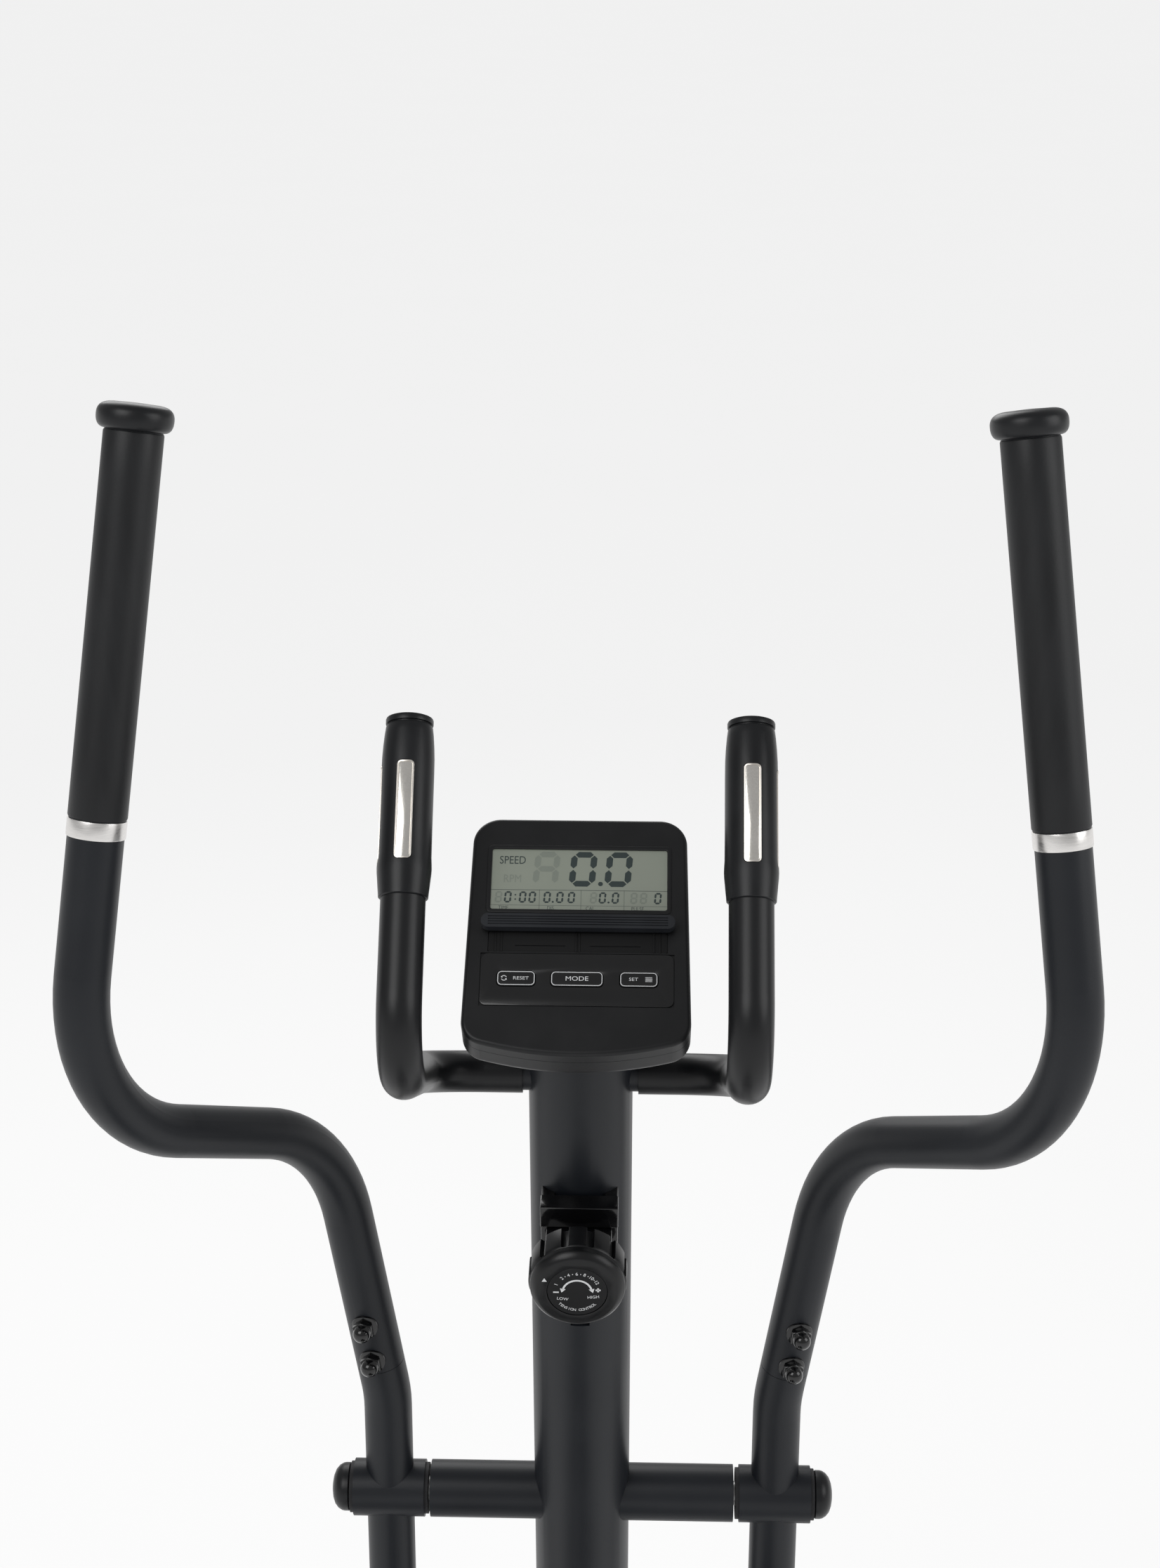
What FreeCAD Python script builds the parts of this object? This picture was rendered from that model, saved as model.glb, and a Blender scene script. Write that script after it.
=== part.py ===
"""Elliptical trainer: a mast-and-beam frame, two coupled swing arms with pedals, and a magnetic drive.

Frame: +Z up, the floor is Z = 0, the rider faces +Y, and the origin lies under the middle of the box.
Angles are in degrees and lengths in millimetres.
"""
import FreeCAD, Part
import math
import os
import Sketcher
from FreeCAD import Placement, Rotation, Vector

doc = FreeCAD.newDocument("elliptical_trainer")

# Driving dimensions, one spreadsheet cell each.
DIMENSIONS = {
    # mast and beam
    "mast_radius": 31.75, "mast_wall": 2.0, "mast_lean": 9.6, "mast_level": 1116.0, "mast_reach": 325.0,
    "mast_low": 150.0, "mast_top": 1300.0, "post_radius": 29.5, "post_top": 330.0,
    "beam_width": 50.0, "beam_height": 50.0, "beam_wall": 2.5, "beam_front": 548.0, "beam_rear": -569.0,
    # feet
    "foot_radius": 30.0, "foot_wall": 2.0, "foot_half": 225.0, "cap_radius": 33.0, "cap_depth": 34.0,
    "front_foot": 510.0, "rear_foot": -543.0, "wheel_radius": 20.0, "wheel_width": 22.0,
    "wheel_reach": 556.0, "wheel_level": 55.0, "wheel_side": 165.0,
    # swing pivot
    "pivot_level": 800.0, "arm_side": 130.0, "pivot_tube_radius": 19.0, "pivot_bore": 16.0,
    "axle_radius": 8.0, "bush_radius": 14.0, "hub_radius": 19.0, "hub_half": 24.0, "lever": 480.0,
    "rest_swing": 0.0, "joint_rise": 26.6,
    # swing arm tube, grip and cap
    "arm_radius": 15.9, "arm_wall": 1.6, "arm_bend": 105.0, "spigot_radius": 14.1,
    "grip_radius": 16.6, "grip_length": 214.0, "ring_length": 10.5, "ring_radius": 16.5,
    "grip_cap_radius": 21.2, "grip_cap_height": 15.0,
    # crank and pedals
    "crank_reach": -235.0, "crank_radius": 120.0, "crank_axle_radius": 10.0, "disc_radius": 150.0,
    "disc_inner": 66.0, "arm_inner": 72.0, "arm_outer": 86.0, "boss_outer": 100.0, "pin_radius": 8.0,
    "pedal_tube_width": 30.0, "pedal_tube_height": 40.0, "pedal_width": 124.0, "pedal_length": 330.0,
    "pedal_side": 36.0, "pedal_ahead": 235.0, "link_hub_radius": 17.0, "link_pin_radius": 6.0,
    # drive
    "pulley_radius": 125.0, "pulley_inner": 28.0, "pulley_width": 16.0, "fly_reach": 0.0,
    "fly_level": 268.0, "fly_radius": 110.0, "fly_width": 24.0, "fly_pulley_radius": 24.0,
    "fly_axle_radius": 6.0, "belt_thickness": 3.0, "belt_width": 12.0, "idler_radius": 22.0,
    "housing_half": 62.0, "housing_wall": 3.0, "housing_crank": 160.0, "housing_fly": 152.0,
    # fixed handlebar
    "bar_radius": 12.7, "bar_wall": 1.6, "bar_bend": 38.0, "bar_level": 1143.3, "bar_start": 35.2,
    "stub_half": 57.0, "stub_wall": 2.5, "pulse_radius": 15.0, "pulse_length": 101.0,
    "plate_width": 9.5, "plate_length": 56.0,
    # console
    "console_reach": 251.0, "console_level": 1266.2, "console_tilt": 39.7, "console_top_half": 62.0,
    "console_low_half": 64.5, "console_up": 74.0, "console_down": 66.0, "console_crown": 10.0,
    "console_corner": 14.0,
    "bezel_depth": 10.0, "console_depth": 30.0, "console_wall": 2.5, "lcd_width": 102.0,
    "lcd_height": 40.0, "lcd_up": 34.0, "key_height": 9.2, "key_up": -29.5,
    # tension control
    "knob_level": 1049.0, "knob_radius": 28.6, "knob_groove": 2.6, "knob_grooves": 12.0, "knob_depth": 26.0,
    "knob_face": 90.0, "dial_radius": 18.0, "box_width": 46.6, "box_height": 53.0,
}

sheet = doc.addObject("Spreadsheet::Sheet", "dims")
for row, (alias, number) in enumerate(DIMENSIONS.items(), start=1):
    sheet.set("A%d" % row, alias)
    sheet.set("B%d" % row, str(number))
    sheet.setAlias("B%d" % row, alias)
doc.recompute()

NODES = []
LEFT, RIGHT = -1, 1
SIDES = {"left": LEFT, "right": RIGHT}
X_AXIS, Y_AXIS, Z_AXIS = Vector(1, 0, 0), Vector(0, 1, 0), Vector(0, 0, 1)


def dim(alias):
    """Value of one driving dimension."""
    return float(sheet.get(alias))


def bind(item, prop, size):
    """Set a property from a number, or bind it to an expression on the sheet."""
    if isinstance(size, str):
        item.setExpression(prop, size)
    else:
        setattr(item, prop, size)


def publish(item, node, motion=None):
    """Name an object as a sub-part, after moving it to its place."""
    doc.recompute()
    if motion is not None:
        item.Placement = motion.multiply(item.Placement)
    item.Label = node
    NODES.append(item)
    return item


def facing(base, direction):
    """Placement that puts local Z along a direction."""
    return Placement(base, Rotation(Z_AXIS, direction))


# ---- solids from primitives -------------------------------------------------------------------------

def cylinder(name, radius, length, base, direction=Z_AXIS):
    """Round bar from base along direction."""
    bar = doc.addObject("Part::Cylinder", name)
    bind(bar, "Radius", radius)
    bind(bar, "Height", length)
    bar.Placement = facing(base, direction)
    return bar


def box(name, sizes, centre, turn=None):
    """Block of three sizes, centred on a point and turned about it."""
    block = doc.addObject("Part::Box", name)
    for prop, size in zip(("Length", "Width", "Height"), sizes):
        bind(block, prop, size)
    doc.recompute()
    half = Vector(block.Length.Value, block.Width.Value, block.Height.Value) * 0.5
    turn = turn or Rotation()
    block.Placement = Placement(centre - turn.multVec(half), turn)
    return block


def cut(name, base, *tools):
    """Base less each tool in turn."""
    for index, tool in enumerate(tools):
        step = doc.addObject("Part::Cut", "%s_cut%d" % (name, index))
        step.Base = base
        step.Tool = tool
        base = step
    return base


def fuse(name, *shapes):
    """One solid from several that overlap."""
    joined = doc.addObject("Part::MultiFuse", name + "_fuse")
    joined.Shapes = list(shapes)
    return joined


def group(name, *shapes):
    """Separate solids that share a node."""
    gathered = doc.addObject("Part::Compound", name + "_group")
    gathered.Links = list(shapes)
    return gathered


def tube(name, outer, inner, length, base, direction):
    """Straight round tube."""
    bore_base = base - Vector(direction).normalize()
    return cut(name, cylinder(name + "_outer", outer, length, base, direction),
               cylinder(name + "_bore", inner, "%s + 2" % length, bore_base, direction))


def bolt(name, base, direction, shank, length, head, head_height):
    """Bolt with a round head at base, and its shank along direction."""
    unit = Vector(direction).normalize()
    return fuse(name, cylinder(name + "_shank", shank, length, base, unit),
                cylinder(name + "_head", head, head_height, base - unit * head_height, unit))


# ---- solids from sketches ---------------------------------------------------------------------------

def outline(body, name, plane, points):
    """Closed outline of straight runs, each corner held by two bound distances."""
    sketch = body.newObject("Sketcher::SketchObject", name)
    support = [item for item in body.Origin.OriginFeatures if item.Role == plane][0]
    sketch.AttachmentSupport = [(support, "")]
    sketch.MapMode = "FlatFace"
    doc.recompute()
    values = [[sheet_value(number) for number in point] for point in points]
    corners = [Vector(across, up, 0) for across, up in values]
    count = len(corners)
    for index in range(count):
        sketch.addGeometry(Part.LineSegment(corners[index], corners[(index + 1) % count]), False)
    for index in range(count):
        sketch.addConstraint(Sketcher.Constraint("Coincident", index, 2, (index + 1) % count, 1))
    for index, point in enumerate(points):
        for kind, axis, number, value in zip(("DistanceX", "DistanceY"), (-2, -1), point, values[index]):
            if abs(value) < 1e-9:
                sketch.addConstraint(Sketcher.Constraint("PointOnObject", index, 1, axis))
                continue
            place = sketch.addConstraint(Sketcher.Constraint(kind, -1, 1, index, 1, value))
            if isinstance(number, str):
                sketch.setExpression("Constraints[%d]" % place, number)
    return sketch


def sheet_value(number):
    """Number, or the present value of an expression on the sheet."""
    if not isinstance(number, str):
        return float(number)
    return float(sheet.evalExpression(number.replace("dims.", "")))


def lathe(name, profile, base=Vector(), direction=Z_AXIS):
    """Body turned about its own Z from a profile of (radius, height) corners."""
    body = doc.addObject("PartDesign::Body", name)
    sketch = outline(body, name + "_profile", "XZ_Plane", profile)
    turned = body.newObject("PartDesign::Revolution", name + "_turned")
    turned.Profile = sketch
    turned.ReferenceAxis = (sketch, ["V_Axis"])
    turned.Angle = 360.0
    body.Placement = facing(base, direction)
    return body


def slab(name, points, thickness, place):
    """Body padded both ways from an outline in its own XY plane."""
    body = doc.addObject("PartDesign::Body", name)
    sketch = outline(body, name + "_outline", "XY_Plane", points)
    pad = body.newObject("PartDesign::Pad", name + "_pad")
    pad.Profile = sketch
    bind(pad, "Length", thickness)
    pad.Midplane = True
    body.Placement = place
    return body


# ---- bent tubes and other free shapes ---------------------------------------------------------------

def rounded_path(points, radius):
    """Wire of straight runs with a tangent arc at each inner point."""
    edges = []
    start = points[0]
    for before, corner, after in zip(points, points[1:], points[2:]):
        back = (before - corner).normalize()
        ahead = (after - corner).normalize()
        half_turn = (math.pi - back.getAngle(ahead)) / 2
        trim = radius * math.tan(half_turn)
        towards = (back + ahead).normalize()
        middle = corner + towards * (radius / math.cos(half_turn) - radius)
        first = corner + back * trim
        last = corner + ahead * trim
        edges.append(Part.LineSegment(start, first).toShape())
        edges.append(Part.Arc(first, middle, last).toShape())
        start = last
    edges.append(Part.LineSegment(start, points[-1]).toShape())
    return Part.Wire(edges)


def swept(points, bend, radius):
    """Round bar along a rounded path."""
    path = rounded_path(points, bend)
    section = Part.Wire([Part.makeCircle(radius, points[0], points[1] - points[0])])
    return path.makePipeShell([section], True, False)


def feature(name, shape):
    """Document object that holds a shape made above."""
    item = doc.addObject("Part::Feature", name)
    item.Shape = shape
    return item


def bent_tube(name, points, bend, radius, wall):
    """Tube of one wall along a rounded path."""
    return feature(name, swept(points, bend, radius).cut(swept(points, bend, radius - wall)))


def racetrack(first, first_radius, second, second_radius):
    """Face in the YZ plane around two circles and the straight runs between them."""
    run = second - first
    lean = math.asin((first_radius - second_radius) / run.Length)
    heading = math.atan2(run.z, run.y)
    ends = {}
    for hand in (1, -1):
        angle = heading + hand * (math.pi / 2 - lean)
        normal = Vector(0, math.cos(angle), math.sin(angle))
        ends[hand] = (first + normal * first_radius, second + normal * second_radius)
    along = Vector(0, math.cos(heading), math.sin(heading))
    edges = [Part.LineSegment(ends[1][0], ends[1][1]).toShape(),
             Part.Arc(ends[1][1], second + along * second_radius, ends[-1][1]).toShape(),
             Part.LineSegment(ends[-1][1], ends[-1][0]).toShape(),
             Part.Arc(ends[-1][0], first - along * first_radius, ends[1][0]).toShape()]
    return Part.Face(Part.Wire(edges))


# ---- places worked out from the driving dimensions --------------------------------------------------

def mast_point(level, ahead=0.0):
    """Point on the mast's axis at a height, or ahead of it towards the rider along its own normal."""
    lean = math.radians(dim("mast_lean"))
    reach = dim("mast_reach") + math.tan(lean) * (dim("mast_level") - level)
    return Vector(0, reach, level) + MAST_NORMAL * ahead


MAST_UP = Vector(0, -math.sin(math.radians(dim("mast_lean"))), math.cos(math.radians(dim("mast_lean"))))
MAST_NORMAL = Vector(0, -MAST_UP.z, MAST_UP.y)
MAST_TURN = Rotation(X_AXIS, dim("mast_lean"))
PIVOT = mast_point(dim("pivot_level"))
REST = math.radians(dim("rest_swing"))
CRANK = Vector(0, dim("crank_reach"), dim("pivot_level") - dim("lever") * math.cos(REST))
FLYWHEEL = Vector(0, dim("fly_reach"), dim("fly_level"))
CRANK_SHIFT = dim("lever") * math.sin(REST)
CRANK_ANGLE = math.degrees(math.asin(CRANK_SHIFT / dim("crank_radius")))
PIN_RISE = dim("crank_radius") * math.cos(math.radians(CRANK_ANGLE))
PEDAL_RUN = PIVOT.y - CRANK.y
PEDAL_LENGTH = math.hypot(PEDAL_RUN, PIN_RISE)
PEDAL_TILT = math.degrees(math.atan2(PIN_RISE, PEDAL_RUN))


CONSOLE_TURN = Rotation(X_AXIS, dim("console_tilt"))
CONSOLE_FACE = Placement(Vector(0, dim("console_reach"), dim("console_level")), CONSOLE_TURN)
MAST_CUT = dim("console_depth") + 3.5


def console_point(across, up, out):
    """Point given on the console: across, up its face, and out of its face."""
    return CONSOLE_FACE.multVec(Vector(across, up, out))


def swing(side):
    """Turn of a swing arm from its upright place to its rest place."""
    return Placement(Vector(), Rotation(X_AXIS, side * dim("rest_swing")), PIVOT)


def link_point(side):
    """Where a swing arm holds its pedal bar at rest."""
    return Vector(side * dim("arm_side"), PIVOT.y + side * CRANK_SHIFT, CRANK.z)


def pedal_place(side):
    """Placement of a pedal bar: local origin at the link pin, the bar along local -Y."""
    return Placement(link_point(side), Rotation(X_AXIS, side * PEDAL_TILT))


def mirrored(side, points):
    """Points given for the right side, taken to either side."""
    return [Vector(side * across, along, up) for across, along, up in points]


# ---- frame ------------------------------------------------------------------------------------------

def build_beam():
    """Square floor beam with a curved saddle at each foot."""
    floor_gap = dim("cap_radius") + dim("foot_radius")
    middle = (dim("beam_front") + dim("beam_rear")) / 2
    level = floor_gap + dim("beam_height") / 2
    length = "dims.beam_front - dims.beam_rear"
    outer = box("beam_outer", ("dims.beam_width", length, "dims.beam_height"), Vector(0, middle, level))
    inner = box("beam_inner", ("dims.beam_width - 2 * dims.beam_wall", length + " + 2",
                               "dims.beam_height - 2 * dims.beam_wall"), Vector(0, middle, level))
    hollow = cut("beam_shell", outer, inner)
    solids = [hollow]
    cutters = []
    for end, reach in (("front", dim("front_foot")), ("rear", dim("rear_foot"))):
        solids.append(box("saddle_" + end, (70.0, 44.0, 18.0), Vector(0, reach, floor_gap - 8.5)))
        cutters.append(cylinder("saddle_bore_" + end, "dims.foot_radius", 80.0,
                                Vector(-40, reach, dim("cap_radius")), X_AXIS))
    post_clear = cylinder("beam_post_hole", "dims.post_radius - 3", 40.0, mast_point(98.0), MAST_UP)
    exits = [cylinder("beam_cable_hole%d" % index, 5.0, 12.0, Vector(across, reach, floor_gap + 42.0))
             for index, (across, reach) in enumerate(((0.0, 70.0), (8.0, 104.0)))]
    publish(cut("main_beam", fuse("main_beam", *solids), *cutters, post_clear, *exits), "main_beam")


def build_post_and_mast():
    """Socket post on the beam, and the leaning mast that slides over it."""
    beam_top = dim("cap_radius") + dim("foot_radius") + dim("beam_height")
    post = tube("post", "dims.post_radius", "dims.post_radius - 2.5",
                "(dims.post_top - 90) / cos(dims.mast_lean)", mast_point(90.0), MAST_UP)
    under = box("post_trim", (90.0, 120.0, 60.0), Vector(0, mast_point(100.0).y, beam_top - 30.0))
    collar = cylinder("post_collar", "dims.mast_radius + 3", 12.0, mast_point(dim("mast_low") - 13.0),
                      MAST_UP)
    bore = cylinder("post_collar_bore", "dims.post_radius - 2.5", 20.0,
                    mast_point(dim("mast_low") - 17.0), MAST_UP)
    publish(cut("front_post", fuse("front_post", post, collar), under, bore), "front_post")
    mast = tube("mast_tube", "dims.mast_radius", "dims.mast_radius - dims.mast_wall",
                "(dims.mast_top - dims.mast_low) / cos(dims.mast_lean)",
                mast_point(dim("mast_low")), MAST_UP)
    cross = cylinder("mast_cross", "dims.pivot_tube_radius", 90.0, PIVOT - X_AXIS * 45, X_AXIS)
    stub_base = mast_point(dim("bar_level")) - X_AXIS * dim("stub_half")
    stub = cylinder("bar_stub", "dims.bar_radius - dims.bar_wall - 0.1", "2 * dims.stub_half", stub_base,
                    X_AXIS)
    stub_bore = cylinder("bar_stub_bore", "dims.bar_radius - dims.bar_wall - 0.1 - dims.stub_wall",
                         "2 * dims.stub_half + 2", stub_base - X_AXIS, X_AXIS)
    stub_holes = [cylinder("bar_stub_hole%d" % (hand + 1), 3.0, 16.0,
                           mast_point(dim("bar_level")) + X_AXIS * hand * 50.0 + Y_AXIS * 16.0, -Y_AXIS)
                  for hand in (LEFT, RIGHT)]
    slot = box("mast_cable_slot", (12.0, 30.0, 66.0), mast_point(1004.0, 36.0), MAST_TURN)
    above = box("mast_top_trim", (200.0, 200.0, 100.0), console_point(0, 0, 50 - MAST_CUT), CONSOLE_TURN)
    trimmed = cut("mast_trimmed", mast, cross, slot, above)
    publish(cut("mast", fuse("mast_joined", trimmed, stub), stub_bore, *stub_holes), "mast")
    bolts = []
    for index, level in enumerate((215.0, 285.0)):
        for hand in (LEFT, RIGHT):
            start = mast_point(level) + X_AXIS * hand * (dim("mast_radius") + 0.2)
            bolts.append(bolt("mast_bolt%d%d" % (index, hand + 1), start, X_AXIS * -hand, 4.0, 10.0,
                              8.0, 5.0))
    publish(group("mast_bolts", *bolts), "mast_bolts")


def build_pivot():
    """Cross tube through the mast and the stepped axle that it holds."""
    half = dim("arm_side") - dim("hub_half") - 4
    publish(tube("pivot_tube", "dims.pivot_tube_radius", "dims.pivot_bore",
                 "2 * (dims.arm_side - dims.hub_half - 4)", PIVOT - X_AXIS * half, X_AXIS), "pivot_tube")
    tip = "dims.arm_side + dims.hub_half + 3"
    core = "dims.arm_side - dims.hub_half - 4"
    profile = [(0, "-(%s)" % tip), ("dims.axle_radius", "-(%s)" % tip), ("dims.axle_radius", "-(%s)" % core),
               ("dims.pivot_bore", "-(%s)" % core), ("dims.pivot_bore", core), ("dims.axle_radius", core),
               ("dims.axle_radius", tip), (0, tip)]
    publish(lathe("swing_axle", profile, PIVOT, X_AXIS), "swing_axle")
    caps = []
    for hand in (LEFT, RIGHT):
        edge = dim("arm_side") + dim("hub_half") + 3
        start = PIVOT + X_AXIS * hand * edge
        profile = [(0, 0), (16, 0), (16, 4), (14, 8), (9, 11), (0, 12)]
        caps.append(lathe("axle_cap%d" % (hand + 1), profile, start, X_AXIS * hand))
    publish(group("axle_caps", *caps), "axle_caps")


def build_feet():
    """Two cross feet with rounded end caps, and transport wheels on the front one."""
    cap_profile = [(0, "dims.cap_depth"), (0, "dims.cap_depth + 6"), (24, "dims.cap_depth + 6"),
                   (30, "dims.cap_depth + 3"), ("dims.cap_radius", "dims.cap_depth - 4"),
                   ("dims.cap_radius", 0), ("dims.foot_radius", 0), ("dims.foot_radius", "dims.cap_depth")]
    for end in ("front", "rear"):
        centre = Vector(0, dim(end + "_foot"), dim("cap_radius"))
        start = centre - X_AXIS * dim("foot_half")
        publish(tube(end + "_stabilizer", "dims.foot_radius", "dims.foot_radius - dims.foot_wall",
                     "2 * dims.foot_half", start, X_AXIS), end + "_stabilizer")
        caps = []
        for hand in (LEFT, RIGHT):
            base = centre + X_AXIS * hand * (dim("foot_half") - dim("cap_depth"))
            cap = lathe("%s_cap%d" % (end, hand + 1), cap_profile, base, X_AXIS * hand)
            pad = box("%s_pad%d" % (end, hand + 1), (32.0, 34.0, 10.0),
                      Vector(base.x + hand * dim("cap_depth") / 2, centre.y, 5.0))
            clear = cylinder("%s_pad_clear%d" % (end, hand + 1), "dims.foot_radius + 2", 80.0,
                             Vector(base.x - 40, centre.y, centre.z), X_AXIS)
            caps.append(fuse("%s_cap_foot%d" % (end, hand + 1), cap, cut(pad.Name, pad, clear)))
        publish(group(end + "_end_caps", *caps), end + "_end_caps")
    bolts = []
    beam_top = dim("cap_radius") + dim("foot_radius") + dim("beam_height")
    for end, reach in (("f", dim("front_foot")), ("r", dim("rear_foot"))):
        for hand in (LEFT, RIGHT):
            start = Vector(hand * 30.0, reach, beam_top - dim("beam_height") + 1.0)
            bolts.append(bolt("foot_bolt_%s%d" % (end, hand + 1), start, -Z_AXIS, 4.0, 9.0, 6.5, 5.0))
    publish(group("stabilizer_bolts", *bolts), "stabilizer_bolts")
    forks = []
    for side, hand in SIDES.items():
        hub = Vector(hand * dim("wheel_side"), dim("wheel_reach"), dim("wheel_level"))
        publish(lathe(side + "_transport_wheel",
                      [(4.05, "-dims.wheel_width / 2"), ("dims.wheel_radius - 2", "-dims.wheel_width / 2"),
                       ("dims.wheel_radius", "-dims.wheel_width / 2 + 3"),
                       ("dims.wheel_radius", "dims.wheel_width / 2 - 3"),
                       ("dims.wheel_radius - 2", "dims.wheel_width / 2"), (4.05, "dims.wheel_width / 2")],
                      hub, X_AXIS), side + "_transport_wheel")
        plates = [box("fork_%s%d" % (side, cheek), (4.0, 46.0, 24.0), hub + Vector(cheek * 14.0, -13.0, 0))
                  for cheek in (-1, 1)]
        pin = cylinder("fork_pin_" + side, 4.0, 36.0, hub - X_AXIS * 18, X_AXIS)
        forks.append(fuse("fork_" + side, *plates, pin))
    foot_clear = cylinder("fork_clear", "dims.foot_radius", 460.0,
                          Vector(-230, dim("front_foot"), dim("cap_radius")), X_AXIS)
    publish(cut("wheel_forks", group("wheel_forks", *forks), foot_clear), "wheel_forks")


# ---- swing arms -------------------------------------------------------------------------------------

# Centreline corners of the right arm: top, outer bend, inner bend, and the bend where it turns upright.
ARM_TOP = (242.4, 280.5, 1546.4)
ARM_OUTER = (286.1, 198.0, 1165.1)
ARM_INNER = (161.0, 367.9, 1073.2)
ARM_KINK = (130.0, 378.447, 875.0)


def build_arm(side, hand):
    """Lower swing tube, bent upper arm, grip, ring, cap, joint bolts and pivot bushes of one side."""
    place = swing(hand)
    top, outer, inner, kink = mirrored(hand, [ARM_TOP, ARM_OUTER, ARM_INNER, ARM_KINK])
    link = Vector(hand * dim("arm_side"), PIVOT.y, PIVOT.z - dim("lever"))
    pivot = Vector(hand * dim("arm_side"), PIVOT.y, PIVOT.z)
    up = (inner - kink).normalize()
    foot = kink + up * dim("joint_rise")
    name = side + "_swing_tube"
    radius, wall = dim("arm_radius"), dim("arm_wall")
    lower = swept([foot, kink, link], 120.0, radius)
    spigot = Part.makeCylinder(dim("spigot_radius"), 75.0, foot - up * 15, up)
    hub = Part.makeCylinder(dim("hub_radius"), 2 * dim("hub_half"), pivot - X_AXIS * dim("hub_half"), X_AXIS)
    link_hub = Part.makeCylinder(dim("link_hub_radius"), 34.0, link - X_AXIS * 17, X_AXIS)
    shape = lower.fuse([spigot, hub, link_hub]).removeSplitter()
    hollow_top = Part.makeCylinder(dim("spigot_radius") - wall, 90.0, foot - up * 14, up)
    bush_bore = Part.makeCylinder(dim("bush_radius"), 60.0, pivot - X_AXIS * 30, X_AXIS)
    pin_bore = Part.makeCylinder(dim("link_pin_radius") + 2.5, 40.0, link - X_AXIS * 20, X_AXIS)
    tools = [hollow_top, bush_bore, pin_bore]
    forward = Vector(hand * math.sin(math.radians(8)), -math.cos(math.radians(8)), 0)
    forward = (forward - up * forward.dot(up)).normalize()
    holes = [foot + up * rise for rise in (10.5, 37.5)]
    for hole in holes:
        tools.append(Part.makeCylinder(4.1, 50.0, hole - forward * 25, forward))
    publish(feature(name, shape.cut(tools)), name, place)

    upper = swept([foot + up * 0.3, inner, outer, top], dim("arm_bend"), radius)
    upper = upper.cut(swept([foot + up * 0.3, inner, outer, top], dim("arm_bend"), radius - wall))
    for hole in holes:
        upper = upper.cut(Part.makeCylinder(4.1, 50.0, hole - forward * 25, forward))
    publish(feature(side + "_upper_arm", upper), side + "_upper_arm", place)

    down = (outer - top).normalize()
    publish(tube(side + "_hand_grip", "dims.grip_radius", "dims.arm_radius", "dims.grip_length", top, down),
            side + "_hand_grip", place)
    ring_start = top + down * (dim("grip_length") + 0.2)
    publish(tube(side + "_grip_ring", "dims.ring_radius", "dims.arm_radius", "dims.ring_length", ring_start,
                 down), side + "_grip_ring", place)
    cap_profile = [(0, -20), ("dims.arm_radius - dims.arm_wall - 0.2", -20),
                   ("dims.arm_radius - dims.arm_wall - 0.2", 0), ("dims.grip_cap_radius - 3", 0),
                   ("dims.grip_cap_radius", 2), ("dims.grip_cap_radius", 6),
                   ("dims.grip_cap_radius - 1.5", 10), ("dims.grip_cap_radius - 7", 13.6),
                   ("dims.grip_cap_radius - 14", "dims.grip_cap_height"), (0, "dims.grip_cap_height")]
    publish(lathe(side + "_grip_cap", cap_profile, top, -down), side + "_grip_cap", place)

    fasteners = []
    for index, hole in enumerate(holes):
        label = "%s_joint%d" % (side, index)
        washer = cylinder(label + "_washer", 8.5, 3.0, hole + forward * (radius - 1.2), forward)
        hollow = cylinder(label + "_curve", "dims.arm_radius + 0.1", 40.0, hole - up * 20, up)
        saddle = cut(label + "_saddle", washer, hollow)
        nut = lathe(label + "_nut", [(0, 0), (6.5, 0), (6.5, 5), (5.6, 8), (3.4, 10.2), (0, 11)],
                    hole + forward * (radius + 1.8), forward)
        shank = cylinder(label + "_shank", 4.0, "2 * dims.arm_radius + 3.4", hole - forward * (radius + 1.5),
                         forward)
        head = cylinder(label + "_head", 7.0, 5.0, hole - forward * (radius + 6.4), forward)
        fasteners.append(fuse(label + "_bolt", shank, head, nut))
        fasteners.append(cut(label + "_washer_ring", saddle, cylinder(label + "_hole", 4.0, 12.0,
                                                                    hole + forward * 12, forward)))
    publish(group(side + "_arm_bolts", *fasteners), side + "_arm_bolts", place)

    bushes = []
    for cheek in (LEFT, RIGHT):
        start = pivot + X_AXIS * cheek * (dim("hub_half") + 2.5)
        profile = [("dims.axle_radius + 0.05", 0), ("dims.bush_radius + 3", 0), ("dims.bush_radius + 3", 2.5),
                   ("dims.bush_radius", 2.5), ("dims.bush_radius", 18), ("dims.axle_radius + 0.05", 18)]
        bushes.append(lathe("%s_bush%d" % (side, cheek + 1), profile, start, X_AXIS * -cheek))
    publish(group(side + "_pivot_bushes", *bushes), side + "_pivot_bushes", place)


# ---- pedals -----------------------------------------------------------------------------------------

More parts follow.
